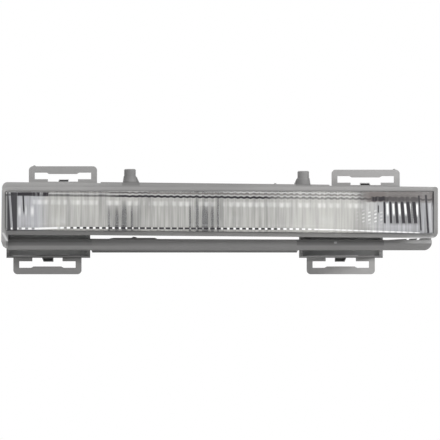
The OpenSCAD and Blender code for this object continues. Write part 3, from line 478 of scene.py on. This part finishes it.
# Light sources: five white LEDs on one long metal-core board with white solder resist. Four
# small screws hold the board on the heat sink, with a soft pad between them.
phosphor, place = new_finish("led_dome")
surface(phosphor,
        Base_Color=place.noise(0.001, 1.0).tint((0.80, 0.78, 0.66, 1), (0.88, 0.86, 0.76, 1)),
        Roughness=0.12 + 0.05 * place.noise(0.0005),
        Coat_Weight=0.6)
paint(phosphor, "led_1", "led_2", "led_3", "led_4", "led_5")

solder_resist, place = new_finish("white_solder_resist")
surface(solder_resist,
        Base_Color=place.noise(0.003, 3.0).tint(grey(0.74), grey(0.82)),
        Roughness=0.35 + 0.15 * place.noise(0.001),
        Normal=place.noise(0.0004).relief(0.00002))
paint(solder_resist, "led_board")

gap_pad, place = new_finish("gap_pad")
surface(gap_pad,
        Base_Color=place.noise(0.002, 3.0).tint((0.20, 0.25, 0.33, 1), (0.26, 0.31, 0.40, 1)),
        Roughness=0.75 + 0.15 * place.noise(0.001),
        Normal=place.noise(0.0005).relief(0.00008))
paint(gap_pad, "thermal_pad")

# Heat sink: die-cast aluminium with upright fins that reach out through windows in the rear
# wall. Its skin is dull, slightly blotchy and finely rough from the casting die.
cast_metal, place = new_finish("cast_aluminium")
blotch = place.noise(0.008, 4.0)
cast_grain = place.noise(0.0006, 3.0)
surface(cast_metal,
        Base_Color=blotch.rise(0.3, 0.7).tint(grey(0.40), grey(0.53)),
        Metallic=0.7,
        Roughness=0.46 + 0.2 * cast_grain,
        Normal=(cast_grain + blotch * 0.5).relief(0.00009))
paint(cast_metal, "heat_sink")

foam, place = new_finish("foam_gasket")
surface(foam,
        Base_Color=place.noise(0.001, 3.0).tint(grey(0.02), grey(0.045)),
        Roughness=0.85 + 0.1 * place.noise(0.0005),
        Normal=place.noise(0.0006).relief(0.00012))
paint(foam, "heat_sink_gasket")

# Screws: zinc-plated steel with pan heads. The long ones clamp the reflector, board and heat
# sink to the rear wall, and the short ones hold the board and the rear cover.
zinc, place = new_finish("zinc_plate")
turning = place.noise(0.0003, 2.0, (1.0, 8.0, 1.0))
surface(zinc,
        Base_Color=place.noise(0.002, 2.0).tint(grey(0.52, 0.02), grey(0.68, 0.01)),
        Metallic=1.0,
        Roughness=0.24 + 0.16 * turning,
        Normal=turning.relief(0.00002))
paint(zinc, "optics_screws", "board_screws", "rear_cover_screws")

# Sealant bead: grey butyl in the channel of the rim, behind the skirt of the lens. It is laid
# in as one soft cord before the lens is pressed home, and keeps water out.
sealant, place = new_finish("sealant")
surface(sealant,
        Base_Color=place.noise(0.002, 2.0).tint(grey(0.10), grey(0.15)),
        Roughness=0.5 + 0.2 * place.noise(0.001),
        Normal=place.noise(0.0015).relief(0.0002))
paint(sealant, "lens_bead")

# Lens: clear polycarbonate, moulded in one piece with the skirt that sits in the rim's
# channel. The outer face is smooth, and the inner face carries a row of upright flutes.
LENS_T = 0.002
SKIRT = 0.009

# Flutes on the inner face, by pitch and height, with the angle from one to the next on the arc.
# They stand a little closer than their width, so that they meet in a sharp valley.
FLUTES = 66
FLUTE_PITCH = 0.00435
FLUTE_CLOSER = 0.985
FLUTE_RISE = 0.0006
FLUTE_R = (FLUTE_PITCH ** 2 / 4 + FLUTE_RISE ** 2) / (2 * FLUTE_RISE)
FLUTE_ANGLE = math.asin(FLUTE_PITCH * FLUTE_CLOSER / (ARC_R - LENS_T))
FLUTE_START = math.asin((MOUTH_INSET + FLUTE_PITCH / 2) / ARC_R)
FLUTE_END_GAP = 0.001
FLUTE_END_ROUND = 0.0012

# Radii of the lens at its left and right end and along its edges, outside and inside
OUTER_RADII = (0.003, 0.005, 0.001)
INNER_RADII = (0.002, 0.004, 0.0008)

# How finely the mesh follows the walls, the face and the flutes
OUTER_STATIONS = 90
WALL_STATIONS = 8
OUTER_REACH = 0.006
INNER_REACH = 0.004
FLUTE_STEPS = 10
LENS_WELD = 0.000002


def lens_shell(x0, x1, inset, depth, radii, stations, heights, relief):
    """Rows of points over the lens, from one end wall across the face to the other."""
    r_left, r_right, r_flat = radii
    rows = []

    def fall(distance, radius):
        return radius - math.sqrt(max(radius ** 2 - max(radius - distance, 0) ** 2, 0))

    for x in stations:
        low = rim_bottom(x) + inset
        high = RIM_TOP - inset
        row = [Vector((x, face_y(x, SKIRT), low))]
        for share in heights:
            z = low + (high - low) * share
            edge = min(z - low, high - z)
            drop = max(fall(x - x0, r_left), fall(x1 - x, r_right))
            drop = min(max(drop, fall(edge, r_flat)) + depth, SKIRT)
            drop += relief(x, edge) if drop < depth + r_flat * 0.2 else 0
            row.append(Vector((x, face_y(x, drop), z)))
        row.append(Vector((x, face_y(x, SKIRT), high)))
        rows.append(row)
    first = [Vector((p.x, face_y(p.x, SKIRT), p.z)) for p in rows[0]]
    last = [Vector((p.x, face_y(p.x, SKIRT), p.z)) for p in rows[-1]]
    return [first] + rows + [last]


def spread(low, high, count, ends, reach):
    """Positions from low to high, closer together near both ends."""
    near = [reach * (i / ends) ** 2 for i in range(ends)]
    inner = [low + reach + (high - low - 2 * reach) * i / count for i in range(count + 1)]
    return [low + d for d in near] + inner + [high - d for d in reversed(near)]


def flute_relief(x, edge):
    """Height of the flutes at x, with rounded ends near the walls."""
    angle = math.asin((x - ARC_X) / (ARC_R - LENS_T))
    index = round((angle - FLUTE_START) / FLUTE_ANGLE)
    if not 0 <= index < FLUTES or edge < FLUTE_END_GAP:
        return 0.0
    side = (angle - FLUTE_START - index * FLUTE_ANGLE) * ARC_R
    height = math.sqrt(max(FLUTE_R ** 2 - side ** 2, 0)) - FLUTE_R + FLUTE_RISE
    return max(height, 0) * min((edge - FLUTE_END_GAP) / FLUTE_END_ROUND, 1) ** 0.5


lens_mesh = bmesh.new()
left = ARC_X + LENS_INSET
right = ARC_X + LENGTH - LENS_INSET
heights = [0.0, 0.004, 0.012, 0.024, 0.04, 0.08] + [0.1 * i for i in range(1, 10)] + [
    0.92, 0.96, 0.976, 0.988, 0.996, 1.0]
outer = lens_shell(left, right, LENS_INSET, 0.0, OUTER_RADII,
                   spread(left, right, OUTER_STATIONS, WALL_STATIONS, OUTER_REACH),
                   heights, lambda x, edge: 0.0)
left += LENS_T
right -= LENS_T
left_wall = spread(left, right, 1, WALL_STATIONS, INNER_REACH)[:WALL_STATIONS]
flute_turns = [FLUTE_START + (i / FLUTE_STEPS - 0.5) * FLUTE_ANGLE
               for i in range(FLUTES * FLUTE_STEPS + 1)]
flute_lines = [ARC_X + (ARC_R - LENS_T) * math.sin(turn) for turn in flute_turns]
right_wall = [right - 0.0012, right - 0.0006, right - 0.0002, right]
stations = [p for p in left_wall if p < flute_lines[0] - 0.0001] + flute_lines + right_wall
inner = lens_shell(left, right, LENS_INSET + LENS_T, LENS_T, INNER_RADII,
                   stations, heights, flute_relief)
skin(lens_mesh, outer)
outer_faces = len(lens_mesh.faces)
skin(lens_mesh, inner)
for index, face in enumerate(lens_mesh.faces):
    face.material_index = 0 if index < outer_faces else 1
bmesh.ops.remove_doubles(lens_mesh, verts=lens_mesh.verts, dist=LENS_WELD)
bmesh.ops.recalc_face_normals(lens_mesh, faces=lens_mesh.faces)


def flute_wave(phase, shift=0.0):
    """1 at the middle of each flute and 0 between flutes, moved by a share of the pitch."""
    turned = (phase - shift) * math.tau
    return 0.5 + 0.5 * turned.math("COSINE", turned)


clear, place = new_finish("fluted_polycarbonate")
x, z = place.part(0), place.part(2)
reach = (x - ARC_X / MM) / ((ARC_R - LENS_T) / MM)
phase = (reach.math("ARCSINE", reach) - FLUTE_START) / FLUTE_ANGLE
wave = flute_wave(phase)
thin = place.noise(0.0011, 2.0, (1.0, 1.0, 26.0))
wide = place.noise(0.0042, 2.0, (1.0, 1.0, 9.0))

# Wavy lines under the top wall of the lens, where its edges show through the flutes: the dark
# ones are painted shade and the bright ones painted highlights, with a band of painted highlights
# below them. The lines fall towards the right, and the waves of the flutes begin near the
# middle. Places here and below are in millimetres, as low end, high end and softness. A range
# over which something grows has no softness.
TOP_FALL = 0.0114
TOP_WAVE = 0.45
TOP_WAVE_BEGINS = (-30.0, 30.0)
TOP_WANDER = 0.6
FIRST_SEAM = (-14.0, 12.0)
BRIGHT_LINE = (-12.5, -11.7, 0.2)
SECOND_LINE = (-10.3, -9.6, 0.2)
SECOND_LINE_BEGINS = (40.0, 80.0)
SECOND_LINE_AT_SEAM = (-10.5, -9.8, 0.2)
THIN_LINE = (-11.3, -10.7, 0.15)
DARK_LINE = (-14.1, -12.75, 0.2)
FAINT_LINE = (-11.6, -10.8, 0.2)
HIGHLIGHT_BAND_HEIGHT = (-19.4, -16.4, 0.9)
HIGHLIGHT_BAND_WIDTH = (-66.0, 154.0, 4.0)
upper = (z + TOP_FALL * x + (wave - 0.5) * x.rise(*TOP_WAVE_BEGINS) * TOP_WAVE
         + (wide - 0.5) * TOP_WANDER)
bright_line = upper.band(*BRIGHT_LINE)
second_line = upper.band(*SECOND_LINE) * x.rise(*SECOND_LINE_BEGINS)
second_line = second_line | upper.band(*SECOND_LINE_AT_SEAM) * x.band(*FIRST_SEAM, 3.0) * 0.8
thin_line = upper.band(*THIN_LINE) * x.band(*FIRST_SEAM, 2.0) * 0.75
dark_line = upper.band(*DARK_LINE) * x.fade((-18.0, 0.6), (-4.0, 1.0))
dark_line = dark_line * x.fade((88.0, 1.0), (100.0, 0.55))
faint_line = upper.band(*FAINT_LINE) * x.fade((-18.0, 0.42), (-10.0, 0.92))
faint_line = faint_line * x.fade((70.0, 1.0), (110.0, 0.75))
highlight_band = upper.band(*HIGHLIGHT_BAND_HEIGHT) * wide.rise(0.3, 0.65) * (0.4 + 0.6 * wave)
highlight_band = highlight_band * x.band(*HIGHLIGHT_BAND_WIDTH)

# The row of painted highlights and painted shade over the bottom wall, one bright and one dark
# mark for each flute. The row falls towards the right, and more so at its right end.
FOOT_X = -53.0
FOOT_Z = -34.25
FOOT_FALL = 0.0055
FOOT_BEND_X = 130.0
FOOT_FALL_RIGHT = 0.03
FOOT_LEFT = (-40.0, -66.0)
FOOT_DROP_LEFT = 0.7
FOOT_HEIGHT = (-0.66, 0.6, 0.2)
FOOT_END = (193.2, 192.2)
DARK_MARKS = (-44.0, 97.0, 8.0)
WIDE_MARKS = (-5.0, 60.0, 12.0)
WIDENING = 0.25
FAINT_MARKS = (94.0, 122.0, 6.0)
FAINT_MARKS_LEFT = (-60.0, -64.0)
PALE_BEADS = (16.0, 60.0, 8.0)
foot = z - FOOT_Z + FOOT_FALL * (x - FOOT_X) + FOOT_FALL_RIGHT * ((x - FOOT_BEND_X) | 0.0)
foot = foot + x.rise(*FOOT_LEFT) * FOOT_DROP_LEFT
mark_width = (x.rise(-45.0, -20.0) + x.band(*WIDE_MARKS)) * WIDENING
marks = (wave + mark_width).rise(0.45, 0.8) * x.band(*DARK_MARKS)
end_marks = (x.band(*FAINT_MARKS) + x.rise(*FAINT_MARKS_LEFT)) * 0.5
marks = marks + wave.rise(0.4, 0.8) * end_marks
upper_half = foot.rise(0.0, 0.35)
foot_row = foot.band(*FOOT_HEIGHT) * (1.0 - upper_half * x.rise(110.0, 130.0))
foot_row = foot_row * x.rise(*FOOT_END)
valleys = flute_wave(phase, 0.5).rise(0.4, 0.9)
beads = 1.0 - valleys * x.fade((125.0, 0.0), (145.0, 0.35))
beads = beads * (1.0 - x.band(*PALE_BEADS) * 0.45)

# Painted shade in the gap between the end wall of the lens and the reflector, with the light line
# of the wall kept out of it, painted shade under the top wall at the left and in a dark wedge, and
# small painted highlights near the left end. Both end walls lean a little.
WALL_LEAN = 0.064
MIDDLE_Z = -23.5
INSIDE = (-37.2, -10.7, 0.3)
LEFT_GAP = (-81.5, -74.9, 0.25)
LEFT_WALL_LINE = (-79.9, -78.5, 0.2)
LEFT_TOP_HEIGHT = (-14.0, -10.9, 0.3)
LEFT_TOP_WIDTH = (-74.8, -54.0, 0.4)
LEFT_WEDGE = (-70.6, -69.4, 0.35)
LEFT_WEDGE_TOP = (-27.5, -22.5)
WEDGE_LEAN = 0.02
LEFT_HIGHLIGHT_HEIGHT = (-26.0, -20.5, 2.0)
LEFT_HIGHLIGHTS = ((-74.2, -72.6, 0.5, 0.5), (-69.8, -68.4, 0.5, 0.4), (-65.8, -63.9, 0.6, 0.6))
lean = x + WALL_LEAN * (z - MIDDLE_Z)
inside = z.band(*INSIDE)
left_gap_shade = x.band(*LEFT_GAP) * (1.0 - lean.band(*LEFT_WALL_LINE)) * inside * 0.95
left_top = upper.band(*LEFT_TOP_HEIGHT) * x.band(*LEFT_TOP_WIDTH) * inside
left_top = left_top * (1.0 - 0.6 * thin.rise(0.48, 0.62) * x.rise(-66.0, -60.0))
left_wedge = (lean - z * WEDGE_LEAN).band(*LEFT_WEDGE) * z.rise(*LEFT_WEDGE_TOP) * inside
left_highlights = any_band(x, LEFT_HIGHLIGHTS) * z.band(*LEFT_HIGHLIGHT_HEIGHT)

# Right end: painted shade in dark bars between the flutes, painted glints beside them, painted
# shade along the top and in the gaps beside the reflector and the lens wall, and painted highlight
# lines on the wall. The bars lean more towards the end.
BAR_WIDTH = (167.2, 191.3, 0.4)
BAR_HEIGHT = (-31.6, -16.8, 0.8)
BAR_SHIFT = 0.66
BAR_LEAN = ((166.0, 0.004), (186.0, 0.024))
BAR_WIDENING = ((170.0, 0.0), (187.0, 0.3))
BAR_Z = -24.5
THIN_BAR = ((164.5, 165.4, 0.3), (-24.5, -19.3, 0.8), 1.0)
RIGHT_TOP_HEIGHT = (-15.5, -8.4, 0.6)
RIGHT_TOP_BEGINS = (150.0, 160.0)
DARK_TOP_HEIGHT = (-14.8, -11.8, 0.4)
DARK_TOP_WIDTH = (160.5, 192.0, 1.2)
REFLECTOR_GAP = (191.9, 193.1, 0.3)
REFLECTOR_GAP_HEIGHT = (-36.4, -13.0, 0.6)
WALL_GAP = (196.5, 197.9, 0.3)
WALL_GAP_HEIGHT = (-38.0, -12.5, 0.5)
WALL_LINE = (198.4, 200.2, 0.3)
OUTER_GAP = ((200.6, 201.5, 0.2), (-20.0, -11.0, 1.5), 0.7)
GLINT_WIDTH = (170.0, 186.5, 0.5)
GLINT_SHIFT = 0.16
END_GLINT = ((190.0, 191.3, 0.3), (-26.5, -18.5, 1.5), 1.0)
leaning = phase + (z - BAR_Z) * x.fade(*BAR_LEAN)
bar_wave = flute_wave(leaning, BAR_SHIFT) + x.fade(*BAR_WIDENING)
bars = bar_wave.rise(0.6, 0.8) * x.band(*BAR_WIDTH) * z.band(*BAR_HEIGHT)
bars = bars | any_patch(x, z, (THIN_BAR,))
right_top = upper.band(*RIGHT_TOP_HEIGHT) * x.rise(*RIGHT_TOP_BEGINS) * thin.rise(0.1, 0.42)
right_top = right_top * x.fade((168.0, 1.0), (174.0, 0.75))
right_top_dark = upper.band(*DARK_TOP_HEIGHT) * x.band(*DARK_TOP_WIDTH) * thin.rise(0.2, 0.5)
right_top_dark = right_top_dark * x.fade((168.0, 1.0), (173.0, 0.65))
right_gap_shade = lean.band(*REFLECTOR_GAP) * z.band(*REFLECTOR_GAP_HEIGHT)
right_gap_shade = right_gap_shade | lean.band(*WALL_GAP) * z.band(*WALL_GAP_HEIGHT)
right_gap_shade = right_gap_shade | any_patch(x, z, (OUTER_GAP,))
glints = flute_wave(leaning, GLINT_SHIFT).rise(0.65, 0.85) * x.band(*GLINT_WIDTH)
glints = glints * z.rise(-27.5, -24.0) * z.rise(-17.5, -19.0)
glints = glints | any_patch(x, z, (END_GLINT,))
wall_lines = lean.band(*WALL_LINE) * 0.25 * inside

# Short rungs of painted highlights in the flutes just before the bars
RUNG_WIDTH = (151.0, 167.0, 2.5)
RUNG_HEIGHT = (-31.0, -23.0, 1.5)
RUNG_LEAN = 0.3
RUNG_TURN = 2.6
rung = (z - x * RUNG_LEAN) * RUNG_TURN
rung_highlights = rung.math("SINE", rung).rise(-0.2, 0.8) * x.fade((145.0, 0.0), (163.0, 0.7))
rung_highlights = rung_highlights * flute_wave(phase, GLINT_SHIFT).rise(0.4, 0.9)
rung_highlights = rung_highlights * x.band(*RUNG_WIDTH) * z.band(*RUNG_HEIGHT)

# Painted shade at the seams between the cells, as dark dips in the slow change of tone along the row
FIRST_SEAM_DIPS = ((-14.8, -13.1, 0.5, 0.8), (-9.9, -7.5, 0.8, 0.95), (-5.4, -2.4, 0.9, 1.1),
                   (0.5, 1.9, 0.5, 0.9), (-16.0, 7.0, 2.5, 0.28))
SECOND_SEAM_DIPS = ((38.0, 60.0, 4.0, 0.14), (39.3, 40.4, 0.4, 0.85), (43.8, 45.6, 0.6, 0.9),
                    (47.8, 51.9, 0.8, 0.85), (53.8, 55.6, 0.7, 0.9), (58.0, 59.1, 0.4, 0.85))
FOURTH_SEAM = (150.0, 158.0, 4.0)
LAST_CELL = (173.0, 191.5, 4.0)
LOWER_PART = (-14.0, -28.0)
lower = z.rise(*LOWER_PART)
seam_shade = any_band(x, FIRST_SEAM_DIPS) * lower * (0.6 + 0.8 * thin)
seam_shade = seam_shade | any_band(x, SECOND_SEAM_DIPS) * (0.3 + 0.7 * lower)
seam_shade = seam_shade | x.band(*FOURTH_SEAM) * 0.25
seam_shade = seam_shade | x.band(*LAST_CELL) * z.fade((-33.5, 0.12), (-30.5, 0.55))

# The level from dark to bright, and the painted shade and painted highlights that lie over it
PLAIN_LEVEL = 0.65
FLUTE_SHARE = 0.10
THIN_SHARE = 0.6
WIDE_SHARE = 0.4
SEAM_DEPTH = 0.72
TOP_STRIP = (-14.2, -13.4)
TOP_STRIP_DEPTH = 0.28
BRIGHT_CELL = (106.0, 148.0, 8.0)
BRIGHT_CELL_LIFT = 0.13
MIDDLE_CELLS = (5.0, 112.0, 8.0)
MIDDLE_CELLS_DEPTH = 0.07
END_STRIP = (192.6, 193.6)
END_STRIP_DEPTH = 0.16
LEFT_WALL_FACE = (-81.2, -81.7)
TOP_CORNER = (164.0, 170.0)
TOP_CORNER_HEIGHT = (-14.6, -13.8)
level = (wave - 0.5) * FLUTE_SHARE + (thin - 0.5) * THIN_SHARE + (wide - 0.5) * WIDE_SHARE
# Painted shade darkens the level at the seams and along the top strip under the top wall
level = level + PLAIN_LEVEL - seam_shade * SEAM_DEPTH - upper.rise(*TOP_STRIP) * TOP_STRIP_DEPTH
level = level + x.band(*BRIGHT_CELL) * BRIGHT_CELL_LIFT
level = level - x.band(*MIDDLE_CELLS) * MIDDLE_CELLS_DEPTH
level = (level - x.rise(*END_STRIP) * END_STRIP_DEPTH).rise(0.0, 1.0)
left_wall_face = x.rise(*LEFT_WALL_FACE)
deep_shade = (dark_line | thin_line | left_gap_shade | left_top | left_wedge | bars | right_gap_shade
        | right_top_dark | foot_row * marks)
dim_shade = faint_line | right_top | x.rise(*TOP_CORNER) * upper.rise(*TOP_CORNER_HEIGHT) * 0.6
highlights = (bright_line * 0.36 | second_line * 0.45 | foot_row * (1.0 - marks) * beads
         | glints | rung_highlights | wall_lines | left_highlights)
highlights = (highlights + highlight_band * 0.5) * (1.0 - deep_shade) * (1.0 - right_top * 0.8)

# Tones of the film: the cells, the left wall, the painted highlights and two greys of painted shade
DARK_CELL = grey(0.17)
WARM_CELL = (0.695, 0.69, 0.655, 1.0)
COOL_CELL = (0.64, 0.645, 0.675, 1.0)
LEFT_WALL = grey(0.30)
HIGHLIGHT_GREY = grey(0.80)
DIM_SHADE_GREY = (0.15, 0.135, 0.13, 1.0)
DEEP_SHADE_GREY = (0.026, 0.024, 0.028, 1.0)
COOL_LEFT = (-52.0, -62.0)
COOL_RIGHT = (150.0, 175.0)
cool = x.rise(*COOL_LEFT) | x.rise(*COOL_RIGHT)
tone = level.tint(DARK_CELL, cool.tint(WARM_CELL, COOL_CELL))
tone = left_wall_face.tint(tone, LEFT_WALL)
tone = highlights.tint(tone, HIGHLIGHT_GREY)
tone = dim_shade.tint(tone, DIM_SHADE_GREY)
tone = deep_shade.tint(tone, DEEP_SHADE_GREY)

# Clear plastic under a film that carries the tones with their painted shade and painted highlights,
# thinner where there is no mark
FILM_SHARE = 0.62
MARK_SHARE = 0.36
surface(clear, Base_Color=(0.97, 0.98, 1.0, 1.0), Roughness=0.03, IOR=1.3,
        Transmission_Weight=1.0)
film(clear, FILM_SHARE + MARK_SHARE * (deep_shade | dim_shade | highlights | left_wall_face),
     Base_Color=tone, Roughness=0.25, Specular_IOR_Level=0.2)
lens = new_piece("clear_lens", lens_mesh, clear)
inner_clear, place = new_finish("clear_polycarbonate")
surface(inner_clear, Base_Color=place.noise(0.02).tint(grey(0.97), grey(0.99)), Roughness=0.03,
        IOR=1.2, Transmission_Weight=1.0)
lens.data.materials.append(inner_clear)
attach(lens, "root")
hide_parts("outer_lens")

# Driver: a small glass-fibre board in the box at the back, with its chip, choke, capacitor
# and diode. Two stiff wires join it to the board of the light sources.
board_green, place = new_finish("board_green")
surface(board_green,
        Base_Color=place.noise(0.002, 4.0).tint((0.015, 0.10, 0.045, 1), (0.03, 0.17, 0.08, 1)),
        Roughness=0.3 + 0.2 * place.noise(0.001),
        Normal=place.noise(0.0006).relief(0.00003))
paint(board_green, "driver_board")

black_package, place = new_finish("black_package")
surface(black_package,
        Base_Color=place.noise(0.001, 3.0).tint(grey(0.012), grey(0.03)),
        Roughness=0.5 + 0.2 * place.noise(0.0006),
        Normal=place.noise(0.0003).relief(0.00002))
paint(black_package, "driver_chip", "choke", "diode")

metal_can, place = new_finish("metal_can")
surface(metal_can,
        Base_Color=place.noise(0.002, 2.0).tint(grey(0.6), grey(0.75)),
        Metallic=1.0,
        Roughness=0.3 + 0.1 * place.noise(0.0005, 2.0, (1, 6, 1)))
paint(metal_can, "capacitor")

tinned, place = new_finish("tinned_copper")
surface(tinned,
        Base_Color=place.noise(0.001, 2.0).tint((0.62, 0.56, 0.42, 1), (0.74, 0.68, 0.54, 1)),
        Metallic=1.0,
        Roughness=0.28 + 0.15 * place.noise(0.0005))
paint(tinned, "link_wires", "connector_terminals")

# Rear cover: black glass-filled plastic, with the socket for the car's plug moulded on. It is
# screwed on over a rubber seal, and its breather has a rubber cap over a white membrane.
black_plastic, place = new_finish("black_plastic")
fibre = place.noise(0.0012, 3.0, (4.0, 1.0, 1.0))
surface(black_plastic,
        Base_Color=place.noise(0.012, 3.0).tint(grey(0.018), grey(0.034)),
        Roughness=0.42 + 0.2 * fibre,
        Normal=(fibre + place.noise(0.0004)).relief(0.00005))
paint(black_plastic, "rear_cover")

rubber, place = new_finish("black_rubber")
surface(rubber,
        Base_Color=place.noise(0.003, 2.0).tint(grey(0.012), grey(0.026)),
        Roughness=0.62 + 0.2 * place.noise(0.001),
        Normal=place.noise(0.0005).relief(0.00004))
paint(rubber, "rear_cover_seal", "vent_cap")

membrane, place = new_finish("vent_membrane")
surface(membrane,
        Base_Color=place.noise(0.0004, 3.0).tint(grey(0.72), grey(0.82)),
        Roughness=0.9,
        Normal=place.noise(0.0002).relief(0.00005))
paint(membrane, "vent_membrane")

# Studio: a plain pale floor under the lower loops, soft lamps above and beside, and a camera
# square to the lamp's length, at the height of its middle.
FLOOR_Z = -0.0656
MIDDLE_X = 0.06
pale, place = new_finish("pale_floor")
surface(pale, Base_Color=grey(0.86), Roughness=0.9)
floor_mesh = bmesh.new()
bmesh.ops.create_grid(floor_mesh, x_segments=4, y_segments=4, size=4.0)
floor = new_piece("floor", floor_mesh, pale)
floor.location = (MIDDLE_X, 0.0, FLOOR_Z)

world = bpy.data.worlds.new("studio")
bpy.context.scene.world = world
world.use_nodes = True
sky = world.node_tree
path = Wire(sky, sky.nodes.new("ShaderNodeLightPath").outputs["Is Camera Ray"])
seen = path.node("ShaderNodeLightPath", None, None, "Is Glossy Ray")
through = path.node("ShaderNodeLightPath", None, None, "Is Transmission Ray")
open_sky = (path + seen + through).rise(0.0, 1.0)
background = sky.nodes["Background"]
background.inputs["Color"].default_value = (1.0, 1.0, 1.0, 1.0)
sky.links.new((0.55 + 0.45 * open_sky).socket, background.inputs["Strength"])


def lamp(name, at, aim, size, power):
    """A soft rectangular lamp at a point, turned to another."""
    data = bpy.data.lights.new(name, "AREA")
    data.shape = "RECTANGLE"
    data.size, data.size_y = size
    data.energy = power
    made = bpy.data.objects.new(name, data)
    made.location = at
    made.rotation_mode = "QUATERNION"
    made.rotation_quaternion = (Vector(aim) - Vector(at)).to_track_quat("-Z", "Y")
    bpy.context.scene.collection.objects.link(made)


middle_point = (MIDDLE_X, 0.0, -0.03)
lamp("key_lamp", (0.35, -0.9, 1.1), middle_point, (1.0, 0.6), 14)
lamp("side_lamp", (1.2, -0.7, 0.3), middle_point, (0.6, 0.9), 5)
lamp("back_lamp", (-0.2, 1.0, 1.0), middle_point, (1.2, 0.6), 8)

VIEW_WIDTH = 0.2922
camera = bpy.data.objects.new("camera", bpy.data.cameras.new("camera"))
camera.data.type = "ORTHO"
camera.data.ortho_scale = VIEW_WIDTH
camera.location = (0.0598, -1.0, -0.0292)
camera.rotation_euler = (math.radians(90), 0, 0)
bpy.context.scene.collection.objects.link(camera)
bpy.context.scene.camera = camera
bpy.context.scene.view_settings.view_transform = "Standard"
